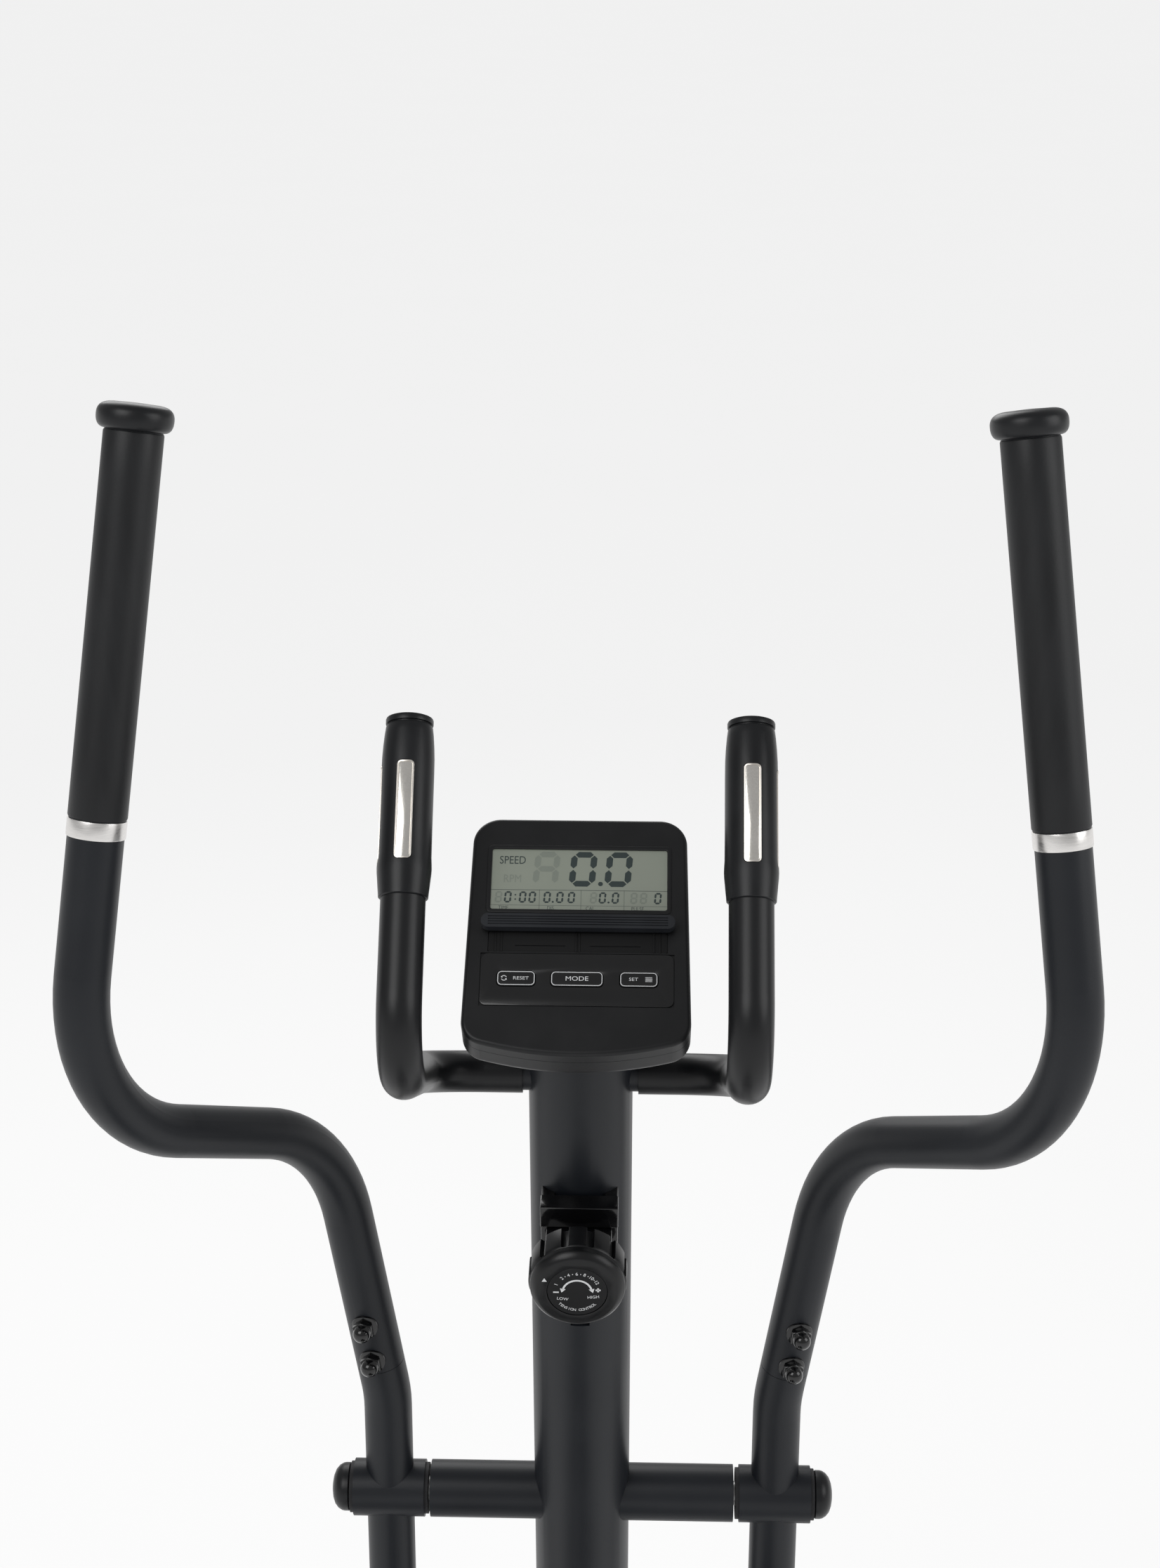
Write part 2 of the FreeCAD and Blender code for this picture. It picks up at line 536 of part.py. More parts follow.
def build_pedal(side, hand):
    """Pedal bar with its front fork and rear eye, the foot plate, and the two pins it turns on."""
    place = pedal_place(hand)
    eye = Vector(0, -PEDAL_LENGTH, 0)
    front = -dim("link_hub_radius") - 14
    rear = -PEDAL_LENGTH + 16
    bar = box(side + "_bar_outer", ("dims.pedal_tube_width", front - rear, "dims.pedal_tube_height"),
              Vector(0, (front + rear) / 2, 0))
    core = box(side + "_bar_core", ("dims.pedal_tube_width - 4", front - rear - 8,
                                    "dims.pedal_tube_height - 4"), Vector(0, (front + rear) / 2, 0))
    shell = cut(side + "_bar_shell", bar, core)
    cheeks = [box("%s_cheek%d" % (side, cheek), (4.0, 58.0, 36.0), Vector(cheek * 20.0, -13.0, 0))
              for cheek in (-1, 1)]
    web = box(side + "_web", (44.0, 6.0, 36.0), Vector(0, front - 3, 0))
    boss = cylinder(side + "_boss", 21.0, 40.0, eye - X_AXIS * 20, X_AXIS)
    joined = fuse(side + "_pedal_bar", shell, *cheeks, web, boss)
    pin_hole = cylinder(side + "_link_hole", "dims.link_pin_radius", 60.0, -X_AXIS * 30, X_AXIS)
    eye_hole = cylinder(side + "_eye_hole", "dims.pin_radius + 4", 60.0, eye - X_AXIS * 30, X_AXIS)
    publish(cut(side + "_pedal_bar", joined, pin_hole, eye_hole), side + "_pedal_bar", place)

    centre = Vector(hand * dim("pedal_side"), -PEDAL_LENGTH + dim("pedal_ahead"),
                    dim("pedal_tube_height") / 2 + 17.0)
    half, long = "dims.pedal_width / 2", "dims.pedal_length / 2"
    nose = [("-(%s - 22)" % half, long), ("%s - 22" % half, long), (half, "%s - 30" % long),
            (half, "-(%s - 18)" % long), ("%s - 18" % half, "-(%s)" % long),
            ("-(%s - 18)" % half, "-(%s)" % long), ("-(%s)" % half, "-(%s - 18)" % long),
            ("-(%s)" % half, "%s - 30" % long)]
    tray = slab(side + "_tray", nose, 33.4, Placement(centre, Rotation()))
    inset = [(across.replace("dims.pedal_width / 2", "(dims.pedal_width / 2 - 5)"),
              along.replace("dims.pedal_length / 2", "(dims.pedal_length / 2 - 5)")) for across, along in nose]
    well = slab(side + "_well", inset, 24.0, Placement(centre + Vector(0, 0, 9), Rotation()))
    publish(cut(side + "_pedal", tray, well), side + "_pedal", place)

    pin_from = dim("boss_outer") + 0.5 - dim("arm_side")
    pin = cylinder(side + "_pin", "dims.pin_radius", 26 - pin_from, Vector(hand * pin_from, 0, 0) + eye,
                   X_AXIS * hand)
    head = cylinder(side + "_pin_head", 17.0, 5.0, Vector(hand * 21.0, 0, 0) + eye, X_AXIS * hand)
    spacer = cylinder(side + "_spacer", 14.0, -20.5 - pin_from, Vector(hand * pin_from, 0, 0) + eye,
                      X_AXIS * hand)
    publish(fuse(side + "_crank_pin", pin, head, spacer), side + "_crank_pin", place)
    publish(tube(side + "_eye_bush", "dims.pin_radius + 4", "dims.pin_radius", 40.0, eye - X_AXIS * 20, X_AXIS),
            side + "_eye_bush", place)
    bolt_body = bolt(side + "_link_bolt", Vector(hand * 22.0, 0, 0), X_AXIS * -hand, "dims.link_pin_radius",
                     52.0, 10.0, 6.0)
    nut = cylinder(side + "_link_nut", 10.0, 8.0, Vector(hand * -22.0, 0, 0), X_AXIS * -hand)
    publish(fuse(side + "_link_pin", bolt_body, nut), side + "_link_pin", place)


# ---- crank, pulley, flywheel and brake --------------------------------------------------------------

def crank_direction(hand):
    """Unit vector from the crank axle to one side's pin."""
    angle = math.radians(CRANK_ANGLE)
    return Vector(0, math.sin(angle), -math.cos(angle)) * hand


def build_crank():
    """Crank axle, two crank arms, two cover discs, the drive pulley and the bearings."""
    publish(cylinder("crank_axle_bar", "dims.crank_axle_radius", "2 * dims.arm_outer",
                     CRANK - X_AXIS * dim("arm_outer"), X_AXIS), "crank_axle")
    arms, discs = [], []
    for side, hand in SIDES.items():
        out = X_AXIS * hand
        heading = crank_direction(hand)
        pin = CRANK + heading * dim("crank_radius")
        base = CRANK + out * dim("arm_inner")
        thickness = "dims.arm_outer - dims.arm_inner"
        turn = Rotation(X_AXIS, math.degrees(math.atan2(heading.z, heading.y)))
        web = box(side + "_crank_web", (thickness, "dims.crank_radius", 30.0),
                  CRANK + heading * dim("crank_radius") * 0.5
                  + out * (dim("arm_inner") + dim("arm_outer")) * 0.5, turn)
        hub = cylinder(side + "_crank_hub", 22.0, thickness, base, out)
        boss = cylinder(side + "_crank_boss", 17.0, "dims.boss_outer - dims.arm_inner",
                        pin + out * dim("arm_inner"), out)
        bore = cylinder(side + "_crank_bore", "dims.crank_axle_radius", 40.0, base - out * 5, out)
        arms.append(cut(side + "_crank", fuse(side + "_crank", web, hub, boss), bore))
        profile = [("dims.crank_axle_radius", 0), ("dims.disc_radius - 6", 0), ("dims.disc_radius", 1.5),
                   ("dims.disc_radius", 3), ("dims.disc_radius - 8", 5), ("dims.crank_axle_radius", 5)]
        discs.append(lathe(side + "_disc", profile, CRANK + out * dim("disc_inner"), out))
    publish(group("crank_arms", *arms), "crank_arms")
    publish(group("crank_discs", *discs), "crank_discs")
    rim = "dims.pulley_radius"
    profile = [("dims.crank_axle_radius", 0), (32, 0), (32, 5), (rim + " - 12", 5), (rim + " - 12", 0),
               (rim + " + 3", 0), (rim + " + 3", 1.5), (rim, 1.5), (rim, "dims.pulley_width - 1.5"),
               (rim + " + 3", "dims.pulley_width - 1.5"), (rim + " + 3", "dims.pulley_width"),
               (rim + " - 12", "dims.pulley_width"), (rim + " - 12", 10), (32, 10),
               (32, "dims.pulley_width"), ("dims.crank_axle_radius", "dims.pulley_width")]
    publish(lathe("drive_pulley", profile, CRANK + X_AXIS * dim("pulley_inner"), X_AXIS), "drive_pulley")
    bearings = [tube("bearing%d" % index, 20.0, "dims.crank_axle_radius + 0.05", "12",
                     CRANK + X_AXIS * start, X_AXIS) for index, start in enumerate((-32.0, 10.0))]
    publish(group("crank_bearings", *bearings), "crank_bearings")


def build_supports():
    """Upright that carries the crank bearings, and the two plates that hold the flywheel axle."""
    top = dim("cap_radius") + dim("foot_radius") + dim("beam_height")
    height = CRANK.z - 18 - top
    upright = box("crank_upright", (40.0, 50.0, height), Vector(-5.0, CRANK.y, top + height / 2))
    core = box("crank_upright_core", (34.0, 44.0, height), Vector(-5.0, CRANK.y, top + height / 2 - 6))
    shell = cylinder("bracket_shell", 24.0, 56.0, CRANK - X_AXIS * 33, X_AXIS)
    seat = cylinder("bracket_bore", 20.0, 70.0, CRANK - X_AXIS * 40, X_AXIS)
    publish(cut("crank_support", fuse("crank_support", cut("upright_shell", upright, core), shell), seat),
            "crank_support")
    plates = []
    rise = dim("fly_level") + 20 - top
    for hand in (LEFT, RIGHT):
        plates.append(box("fly_plate%d" % (hand + 1), (5.0, 44.0, rise),
                          Vector(hand * 50.5, dim("fly_reach"), top + rise / 2)))
    foot = box("fly_foot", (106.0, 44.0, 5.0), Vector(0, dim("fly_reach"), top + 2.5))
    hole = cylinder("fly_hole", "dims.fly_axle_radius", 120.0, FLYWHEEL - X_AXIS * 60, X_AXIS)
    publish(cut("flywheel_support", fuse("flywheel_support", *plates, foot), hole), "flywheel_support")


def build_flywheel():
    """Flywheel with its small belt pulley, the fixed axle, the belt and its idler."""
    half = "dims.fly_width / 2"
    rim = "dims.fly_radius"
    bore = "dims.fly_axle_radius + 0.05"
    profile = [(bore, -20), (16, -20), (16, -4), (rim + " - 26", -4), (rim + " - 26", "-(%s)" % half),
               (rim, "-(%s)" % half), (rim, half), (rim + " - 26", half), (rim + " - 26", 4), (16, 4),
               (16, 20), (bore, 20)]
    publish(lathe("flywheel", profile, FLYWHEEL - X_AXIS * 18, X_AXIS), "flywheel")
    small = "dims.fly_pulley_radius"
    profile = [(bore, 0), (16, 0), (16, 26), (small + " + 3", 26), (small + " + 3", 27.5), (small, 27.5),
               (small, 40.5), (small + " + 3", 40.5), (small + " + 3", 42), (bore, 42)]
    publish(lathe("flywheel_pulley", profile, FLYWHEEL + X_AXIS * 2.2, X_AXIS), "flywheel_pulley")
    rod = cylinder("fly_axle_rod", "dims.fly_axle_radius", 114.0, FLYWHEEL - X_AXIS * 57, X_AXIS)
    nuts = [cylinder("fly_nut%d" % (hand + 1), 9.5, 4.0, FLYWHEEL + X_AXIS * hand * 53.2, X_AXIS * hand)
            for hand in (LEFT, RIGHT)]
    publish(fuse("flywheel_axle", rod, *nuts), "flywheel_axle")
    gap, thick = 0.3, dim("belt_thickness")
    outer = racetrack(CRANK, dim("pulley_radius") + gap + thick, FLYWHEEL,
                      dim("fly_pulley_radius") + gap + thick)
    inner = racetrack(CRANK, dim("pulley_radius") + gap, FLYWHEEL, dim("fly_pulley_radius") + gap)
    belt = outer.cut(inner).extrude(X_AXIS * dim("belt_width"))
    belt.translate(X_AXIS * (dim("pulley_inner") + (dim("pulley_width") - dim("belt_width")) / 2))
    publish(feature("drive_belt", belt), "drive_belt")
    run = FLYWHEEL - CRANK
    lean = math.asin((dim("pulley_radius") - dim("fly_pulley_radius")) / run.Length)
    angle = math.atan2(run.z, run.y) - (math.pi / 2 - lean)
    normal = Vector(0, math.cos(angle), math.sin(angle))
    along = Vector(0, -normal.z, normal.y)
    reach = run.dot(along)
    centre = CRANK + along * (reach * 0.72)
    centre += normal * (dim("pulley_radius") + 2 * gap + thick + dim("idler_radius"))
    publish(lathe("idler_wheel", [(5.05, 0), ("dims.idler_radius", 0), ("dims.idler_radius", 14), (5.05, 14)],
                  centre + X_AXIS * 29, X_AXIS), "idler_wheel")
    stud = cylinder("idler_stud", 5.0, 30.0, centre + X_AXIS * 18, X_AXIS)
    foot_level = dim("cap_radius") + dim("foot_radius") + dim("beam_height")
    strut = box("idler_strut", (6.0, 24.0, centre.z + 12 - foot_level),
                Vector(20.0, centre.y, (centre.z + 12 + foot_level) / 2))
    publish(fuse("idler_bracket", stud, strut), "idler_bracket")


BRAKE_PIVOT = Vector(0, 60.0, dim("fly_level") + dim("fly_radius") + 8)


def build_brake():
    """Curved magnet carrier over the flywheel's rim, its magnets, and the fixed pin it turns on."""
    gap = dim("fly_radius") + 5
    top = dim("fly_level") + gap
    arc = Part.makeCylinder(gap + 4, 34.0, FLYWHEEL - X_AXIS * 35, X_AXIS)
    arc = arc.cut(Part.makeCylinder(gap, 40.0, FLYWHEEL - X_AXIS * 38, X_AXIS))
    window = Part.makeBox(60, 78, 120, Vector(-50, dim("fly_reach") - 62, dim("fly_level") + 40))
    lug = Part.makeBox(6, 76, 12, Vector(-4, 0, top - 3))
    eye = Part.makeCylinder(10, 6, BRAKE_PIVOT - X_AXIS * 4, X_AXIS)
    carrier = arc.common(window).fuse([lug, eye]).removeSplitter()
    carrier = carrier.cut(Part.makeCylinder(5.05, 30, BRAKE_PIVOT - X_AXIS * 10, X_AXIS))
    carrier = carrier.cut(Part.makeCylinder(dim("fly_radius") + 2, 40, FLYWHEEL - X_AXIS * 38, X_AXIS))
    publish(feature("magnet_carrier", carrier), "magnet_carrier")
    magnets = []
    for index, angle in enumerate((2.0, 14.0, 26.0)):
        spread = Rotation(X_AXIS, angle)
        block = Part.makeBox(22, 16, 5, Vector(-11, -8, gap - 4))
        block = block.common(Part.makeCylinder(gap, 40, Vector(-20, 0, 0), X_AXIS))
        block.Placement = Placement(FLYWHEEL - X_AXIS * 18, spread)
        magnets.append(feature("magnet%d" % index, block))
    publish(group("brake_magnets", *magnets), "brake_magnets")
    pin = cylinder("brake_pin_rod", 5.0, 59.0, BRAKE_PIVOT - X_AXIS * 53, X_AXIS)
    post = box("brake_pin_post", (5.0, 20.0, 129.0), BRAKE_PIVOT + Vector(-50.5, -4.0, -59.5))
    arm = box("brake_pin_arm", (5.0, 44.0, 20.0), BRAKE_PIVOT + Vector(-50.5, -16.0, -114.0))
    publish(fuse("brake_post", pin, post, arm), "brake_post")


def build_housing():
    """Two halves of the drive cover, open underneath between their side walls, and their screws."""
    half, wall = dim("housing_half"), dim("housing_wall")
    outer = racetrack(CRANK, dim("housing_crank"), FLYWHEEL, dim("housing_fly"))
    inner = racetrack(CRANK, dim("housing_crank") - wall, FLYWHEEL, dim("housing_fly") - wall)
    beam_top = dim("cap_radius") + dim("foot_radius") + dim("beam_height")
    for side, hand in SIDES.items():
        shell = outer.extrude(X_AXIS * hand * half)
        rim = [edge for edge in shell.Edges if abs(abs(edge.BoundBox.XMin) - half) < 0.1
               and edge.BoundBox.XLength < 0.1]
        shell = shell.makeFillet(12.0, rim)
        hollow = inner.extrude(X_AXIS * hand * (half - wall))
        hollow_rim = [edge for edge in hollow.Edges if abs(abs(edge.BoundBox.XMin) - half + wall) < 0.1
                      and edge.BoundBox.XLength < 0.1]
        shell = shell.cut(hollow.makeFillet(9.0, hollow_rim))
        parting = Part.makeBox(0.3, 900, 900, Vector(-0.15, -600, 0))
        under = Part.makeBox(2 * (half - 9), 520, 120, Vector(9 - half, -375, beam_top - 40))
        hole = Part.makeCylinder(25.0, 80, CRANK, X_AXIS * hand)
        shell = shell.cut([parting, under, hole])
        publish(feature(side + "_housing", shell), side + "_housing")
    screws = []
    spots = [(CRANK, dim("housing_crank"), angle) for angle in (70.0, 130.0, 190.0)]
    spots += [(FLYWHEEL, dim("housing_fly"), angle) for angle in (-10.0, 55.0)]
    for index, (centre, radius, angle) in enumerate(spots):
        out = Vector(0, math.cos(math.radians(angle)), math.sin(math.radians(angle)))
        for hand in (LEFT, RIGHT):
            start = centre + out * (radius - 20) + X_AXIS * hand * (half + 0.1)
            screws.append(bolt("housing_screw%d%d" % (index, hand + 1), start, X_AXIS * -hand, 2.0, 12.0,
                               4.5, 1.8))
    publish(group("housing_screws", *screws), "housing_screws")


# ---- fixed handlebar --------------------------------------------------------------------------------

# Centreline corners of the right half of the bar: side bend, low bend and tip.
BAR_SIDE = (96.2, 320.38, 1143.3)
BAR_LOW = (96.6, 165.9, 1214.2)
BAR_TIP = (97.0, 290.7, 1374.7)


def build_handlebar():
    """Two bent bar halves on the mast's cross tube, each with a screw and a pulse grip."""
    halves, screws = [], []
    root = mast_point(dim("bar_level"))
    for hand in (LEFT, RIGHT):
        start = root + X_AXIS * hand * dim("bar_start")
        half = bent_tube("bar_half%d" % (hand + 1), [start] + mirrored(hand, [BAR_SIDE, BAR_LOW, BAR_TIP]),
                         dim("bar_bend"), dim("bar_radius"), dim("bar_wall"))
        behind = root + X_AXIS * hand * 50.0 + Y_AXIS * (dim("bar_radius") + 0.1)
        halves.append(cut("bar_end%d" % (hand + 1), half,
                          cylinder("bar_hole%d" % (hand + 1), 3.0, 9.0, behind + Y_AXIS * 2, -Y_AXIS)))
        screws.append(bolt("bar_screw%d" % (hand + 1), behind, -Y_AXIS, 2.9, 7.0, 5.0, 3.0))
    publish(group("fixed_handlebar", *halves), "fixed_handlebar")
    publish(group("bar_screws", *screws), "bar_screws")
    plates, caps = [], []
    for side, hand in SIDES.items():
        low, tip = mirrored(hand, [BAR_LOW, BAR_TIP])
        up = (tip - low).normalize()
        foot = tip - up * dim("pulse_length")
        front = (up * up.y - Y_AXIS).normalize()
        sleeve = tube(side + "_pulse", "dims.pulse_radius", "dims.bar_radius + 0.02", "dims.pulse_length",
                      foot, up)
        pockets = []
        for face, normal in (("front", front), ("side", X_AXIS * hand)):
            across = up.cross(normal)
            turn = Rotation(across, normal, up, "ZYX")
            middle = tip - up * 54 + normal * 14.0
            ring = tube("%s_%s_ring" % (side, face), "dims.pulse_radius + 0.5", "dims.pulse_radius - 1",
                        "dims.pulse_length", foot, up)
            block = box("%s_%s_plate" % (side, face), ("dims.plate_width", 12.0, "dims.plate_length"),
                        middle, turn)
            plate = doc.addObject("Part::Common", "%s_%s_pulse_plate" % (side, face))
            plate.Base = ring
            plate.Tool = block
            plates.append(plate)
            pockets.append(plate)
        doc.recompute()
        shell = sleeve.Shape
        doc.recompute()
        for pocket in pockets:
            shell = shell.cut(pocket.Shape)
        publish(feature(side + "_pulse_sleeve", shell), side + "_pulse_grip")
        caps.append(lathe(side + "_bar_cap", [(0, -12), (10.9, -12), (10.9, 0.1), (13.4, 0.1), (13.4, 5),
                                              (11, 8), (0, 9)], tip, up))
    publish(group("pulse_plates", *plates), "pulse_plates")
    publish(group("handlebar_end_caps", *caps), "handlebar_end_caps")


# ---- console ----------------------------------------------------------------------------------------

def console_face(inset=0.0):
    """Console outline in its own plane: straight sides, rounded top corners and a bowed lower edge."""
    top, low = dim("console_top_half") - inset, dim("console_low_half") - inset
    up, down = dim("console_up") - inset, dim("console_down") - inset
    corner = 16.0 - inset / 2
    crown = dim("console_crown")
    diagonal = corner * (1 - math.sqrt(0.5))
    edges = [Part.LineSegment(Vector(corner - top, up, 0), Vector(top - corner, up, 0)).toShape(),
             Part.Arc(Vector(top - corner, up, 0), Vector(top - diagonal, up - diagonal, 0),
                      Vector(top, up - corner, 0)).toShape(),
             Part.LineSegment(Vector(top, up - corner, 0), Vector(low, -down, 0)).toShape(),
             Part.Arc(Vector(low, -down, 0), Vector(0, -down - crown, 0), Vector(-low, -down, 0)).toShape(),
             Part.LineSegment(Vector(-low, -down, 0), Vector(-top, up - corner, 0)).toShape(),
             Part.Arc(Vector(-top, up - corner, 0), Vector(diagonal - top, up - diagonal, 0),
                      Vector(corner - top, up, 0)).toShape()]
    return Part.Face(Part.Wire(edges))


def console_block(inset, high, low):
    """Console outline between two depths, with its lower corners rounded too."""
    block = console_face(inset).extrude(Z_AXIS * (low - high))
    block.translate(Z_AXIS * high)
    corners = [edge for edge in block.Edges if edge.BoundBox.ZLength > 1 and edge.BoundBox.YMax < 0]
    return block.makeFillet(dim("console_corner") - inset, corners)


def block_at(width, height, low, high, across=0.0, up=0.0):
    """Block on the console in its own frame, between two depths."""
    return Part.makeBox(width, height, high - low, Vector(across - width / 2, up - height / 2, low))


KEYS = {"reset": (-34.2, 21.6), "mode": (0.0, 29.4), "set": (34.8, 21.4)}
SCREW_SPOTS = [(-32.0, 4.0), (32.0, 4.0), (-32.0, 60.0), (32.0, 60.0)]


def build_console():
    """Bezel, back shell, lens, display, board, keys, ledge, battery cover and the bracket to the mast."""
    bezel_depth, wall = dim("bezel_depth"), dim("console_wall")
    depth = dim("console_depth")

    def place(node, shape):
        publish(feature(node + "_body", shape), node, CONSOLE_FACE)

    front = console_block(0.0, 0.0, -bezel_depth)
    rim = [edge for edge in front.Edges if edge.BoundBox.ZMin > -0.1]
    front = front.makeFillet(2.5, rim)
    hollow = console_block(wall, -wall, -bezel_depth)
    lcd_width, lcd_height, lcd_up = dim("lcd_width"), dim("lcd_height"), dim("lcd_up")
    windows = [block_at(lcd_width, lcd_height, -5, 1, 0, lcd_up), block_at(102.0, 13.0, -1.2, 1, 0, -6.1),
               block_at(109.6, 33.0, -1.0, 1, 0, -29.9)]
    key_height, key_up = dim("key_height"), dim("key_up")
    for across, width in KEYS.values():
        windows.append(block_at(width + 0.6, key_height + 0.6, -5, 1, across, key_up))
    place("console_bezel", front.cut([hollow] + windows))
    panel = block_at(109.0, 32.4, -1.0, 0.2, 0, -29.9)
    for across, width in KEYS.values():
        panel = panel.cut(block_at(width + 0.6, key_height + 0.6, -5, 1, across, key_up))
    place("key_panel", panel)
    for name, (across, width) in KEYS.items():
        key = block_at(width, key_height, -4.0, 1.2, across, key_up)
        key = key.makeFillet(0.5, [edge for edge in key.Edges if edge.BoundBox.ZMin > 1.1])
        place(name + "_key", key)
    place("lcd_lens", block_at(lcd_width - 0.4, lcd_height - 0.4, -2.4, -0.6, 0, lcd_up))
    place("lcd_module", block_at(lcd_width + 6, lcd_height + 6, -6.5, -2.6, 0, lcd_up))
    place("circuit_board", block_at(116.0, 104.0, -9.6, -8.0, 0, 3.0))
    bar = block_at(110.0, 8.8, 3.0, 8.0, 0, 3.4)
    bar = bar.makeFillet(4.3, [edge for edge in bar.Edges if edge.BoundBox.ZLength > 1])
    grooves = [block_at(102.0, 0.7, 7.4, 9.0, 0, 3.4 + 1.6 * index) for index in (-1.5, -0.5, 0.5, 1.5)]
    struts = [block_at(5.0, 5.4, 0.05, 3.5, across, 3.4) for across in (-47.5, 0.0, 47.5)]
    place("reading_ledge", bar.cut(grooves).fuse(struts))
    holes = [Part.makeCylinder(2.0, 12.0, Vector(across, up, -MAST_CUT - 1)) for across, up in SCREW_SPOTS]
    back = console_block(0.0, -bezel_depth - 0.3, -depth)
    back_rim = [edge for edge in back.Edges if edge.BoundBox.ZMax < 0.1 - depth]
    back = back.makeFillet(8.0, back_rim)
    cavity = console_block(wall, -bezel_depth - 0.3, wall - depth)
    axis = CONSOLE_FACE.inverse()
    throat = Part.makeCylinder(26.0, 120.0, axis.multVec(mast_point(1200.0)), axis.Rotation.multVec(MAST_UP))
    throat = throat.common(block_at(300.0, 300.0, -200.0, wall - depth + 0.5))
    door_gap = block_at(70.6, 30.6, -depth - 1, 2.0 - depth, 0, -38.0)
    door_well = block_at(62.0, 24.0, -depth - 1, wall - depth + 1, 0, -38.0)
    place("console_back", back.cut([cavity, throat, door_gap, door_well] + holes))
    place("battery_cover", block_at(70.0, 30.0, -depth, 1.9 - depth, 0, -38.0))
    plate = block_at(76.0, 70.0, -MAST_CUT, -depth - 0.3, 0, 32.0)
    plate = plate.makeFillet(10.0, [edge for edge in plate.Edges if edge.BoundBox.ZLength > 1
                                    and edge.BoundBox.XLength < 0.1 and edge.BoundBox.YLength < 0.1])
    plug = Part.makeCylinder(dim("mast_radius") - dim("mast_wall") - 0.1, 120.0,
                             axis.multVec(mast_point(1212.0)), axis.Rotation.multVec(MAST_UP))
    plug = plug.common(block_at(300.0, 300.0, -200.0, -depth - 0.3))
    place("console_bracket", plate.fuse(plug).cut([throat] + holes))
    screws = []
    for across, up in SCREW_SPOTS:
        head = Part.makeCylinder(4.0, 2.4, Vector(across, up, -MAST_CUT - 2.4))
        screws.append(head.fuse(Part.makeCylinder(2.0, 9.0, Vector(across, up, -MAST_CUT - 0.2))))
    place("console_screws", Part.makeCompound(screws))


# ---- tension control --------------------------------------------------------------------------------

def build_tension():
    """Bracket on the mast, the knob with its ribbed skirt, and the two held cables."""
    level = dim("knob_level")
    outer = box("bracket_outer", ("dims.box_width", 39.0, "dims.box_height"), mast_point(level - 4.5, 43.5),
                MAST_TURN)
    inner = box("bracket_inner", ("dims.box_width - 6", 44.0, "dims.box_height - 6"),
                mast_point(level - 4.5, 38.0), MAST_TURN)
    mast_bore = cylinder("bracket_mast_bore", "dims.mast_radius + 0.02", 140.0, mast_point(level - 70),
                         MAST_UP)
    shaft_bore = cylinder("bracket_shaft_bore", 4.05, 40.0, mast_point(level, 40.0), MAST_NORMAL)
    cable_start, cable_entry = mast_point(1036.0, 52.0), mast_point(985.0, 24.0)
    cable_bore = cylinder("bracket_cable_bore", 3.2, 60.0, cable_start, cable_entry - cable_start)
    publish(cut("tension_bracket", outer, inner, mast_bore, shaft_bore, cable_bore), "tension_bracket")
    back = dim("knob_face") - dim("knob_depth")
    skirt = "dims.knob_radius"
    profile = [(2.2, 45 - back), (8, 45 - back), (8, 54 - back), (4, 54 - back), (4, 0),
               (skirt + " - 2", 0), (skirt, 2), (skirt, "dims.knob_depth - 5"),
               (skirt + " - 1.2", "dims.knob_depth - 2"), (skirt + " - 4", "dims.knob_depth"),
               ("dims.dial_radius + 0.4", "dims.knob_depth"),
               ("dims.dial_radius + 0.4", "dims.knob_depth - 1.5"), (2.2, "dims.knob_depth - 1.5")]
    knob = lathe("knob_core", profile, mast_point(level, back), MAST_NORMAL)
    grooves = []
    count = int(dim("knob_grooves"))
    for index in range(count):
        spread = Rotation(MAST_NORMAL, 360.0 * (index + 0.5) / count)
        centre = mast_point(level, back - 1) + spread.multVec(X_AXIS) * (dim("knob_radius") + 0.4)
        grooves.append(cylinder("knob_groove%d" % index, "dims.knob_groove", 19.0, centre, MAST_NORMAL))
    publish(cut("knob", knob, *grooves), "knob")
    face = mast_point(level, dim("knob_face") - 1.4)
    disc = cylinder("dial_disc", "dims.dial_radius", 1.3, face, MAST_NORMAL)
    stem = cylinder("dial_stem", 2.0, dim("knob_face") - 38.4, mast_point(level, 38.0), MAST_NORMAL)
    rest = box("dial_rest", ("dims.box_width - 6", 4.0, 8.0), mast_point(level, 38.0), MAST_TURN)
    publish(fuse("tension_dial", disc, stem, rest), "tension_dial")


TENSION_ROUTE = [(446.0, 86.0), (94.0, 86.0), (74.0, 98.0), (70.0, 124.0), (70.0, 372.0)]
SENSOR_ROUTE = [(492.0, 82.0), (460.0, 74.0), (128.0, 74.0), (108.0, 88.0), (104.0, 116.0)]


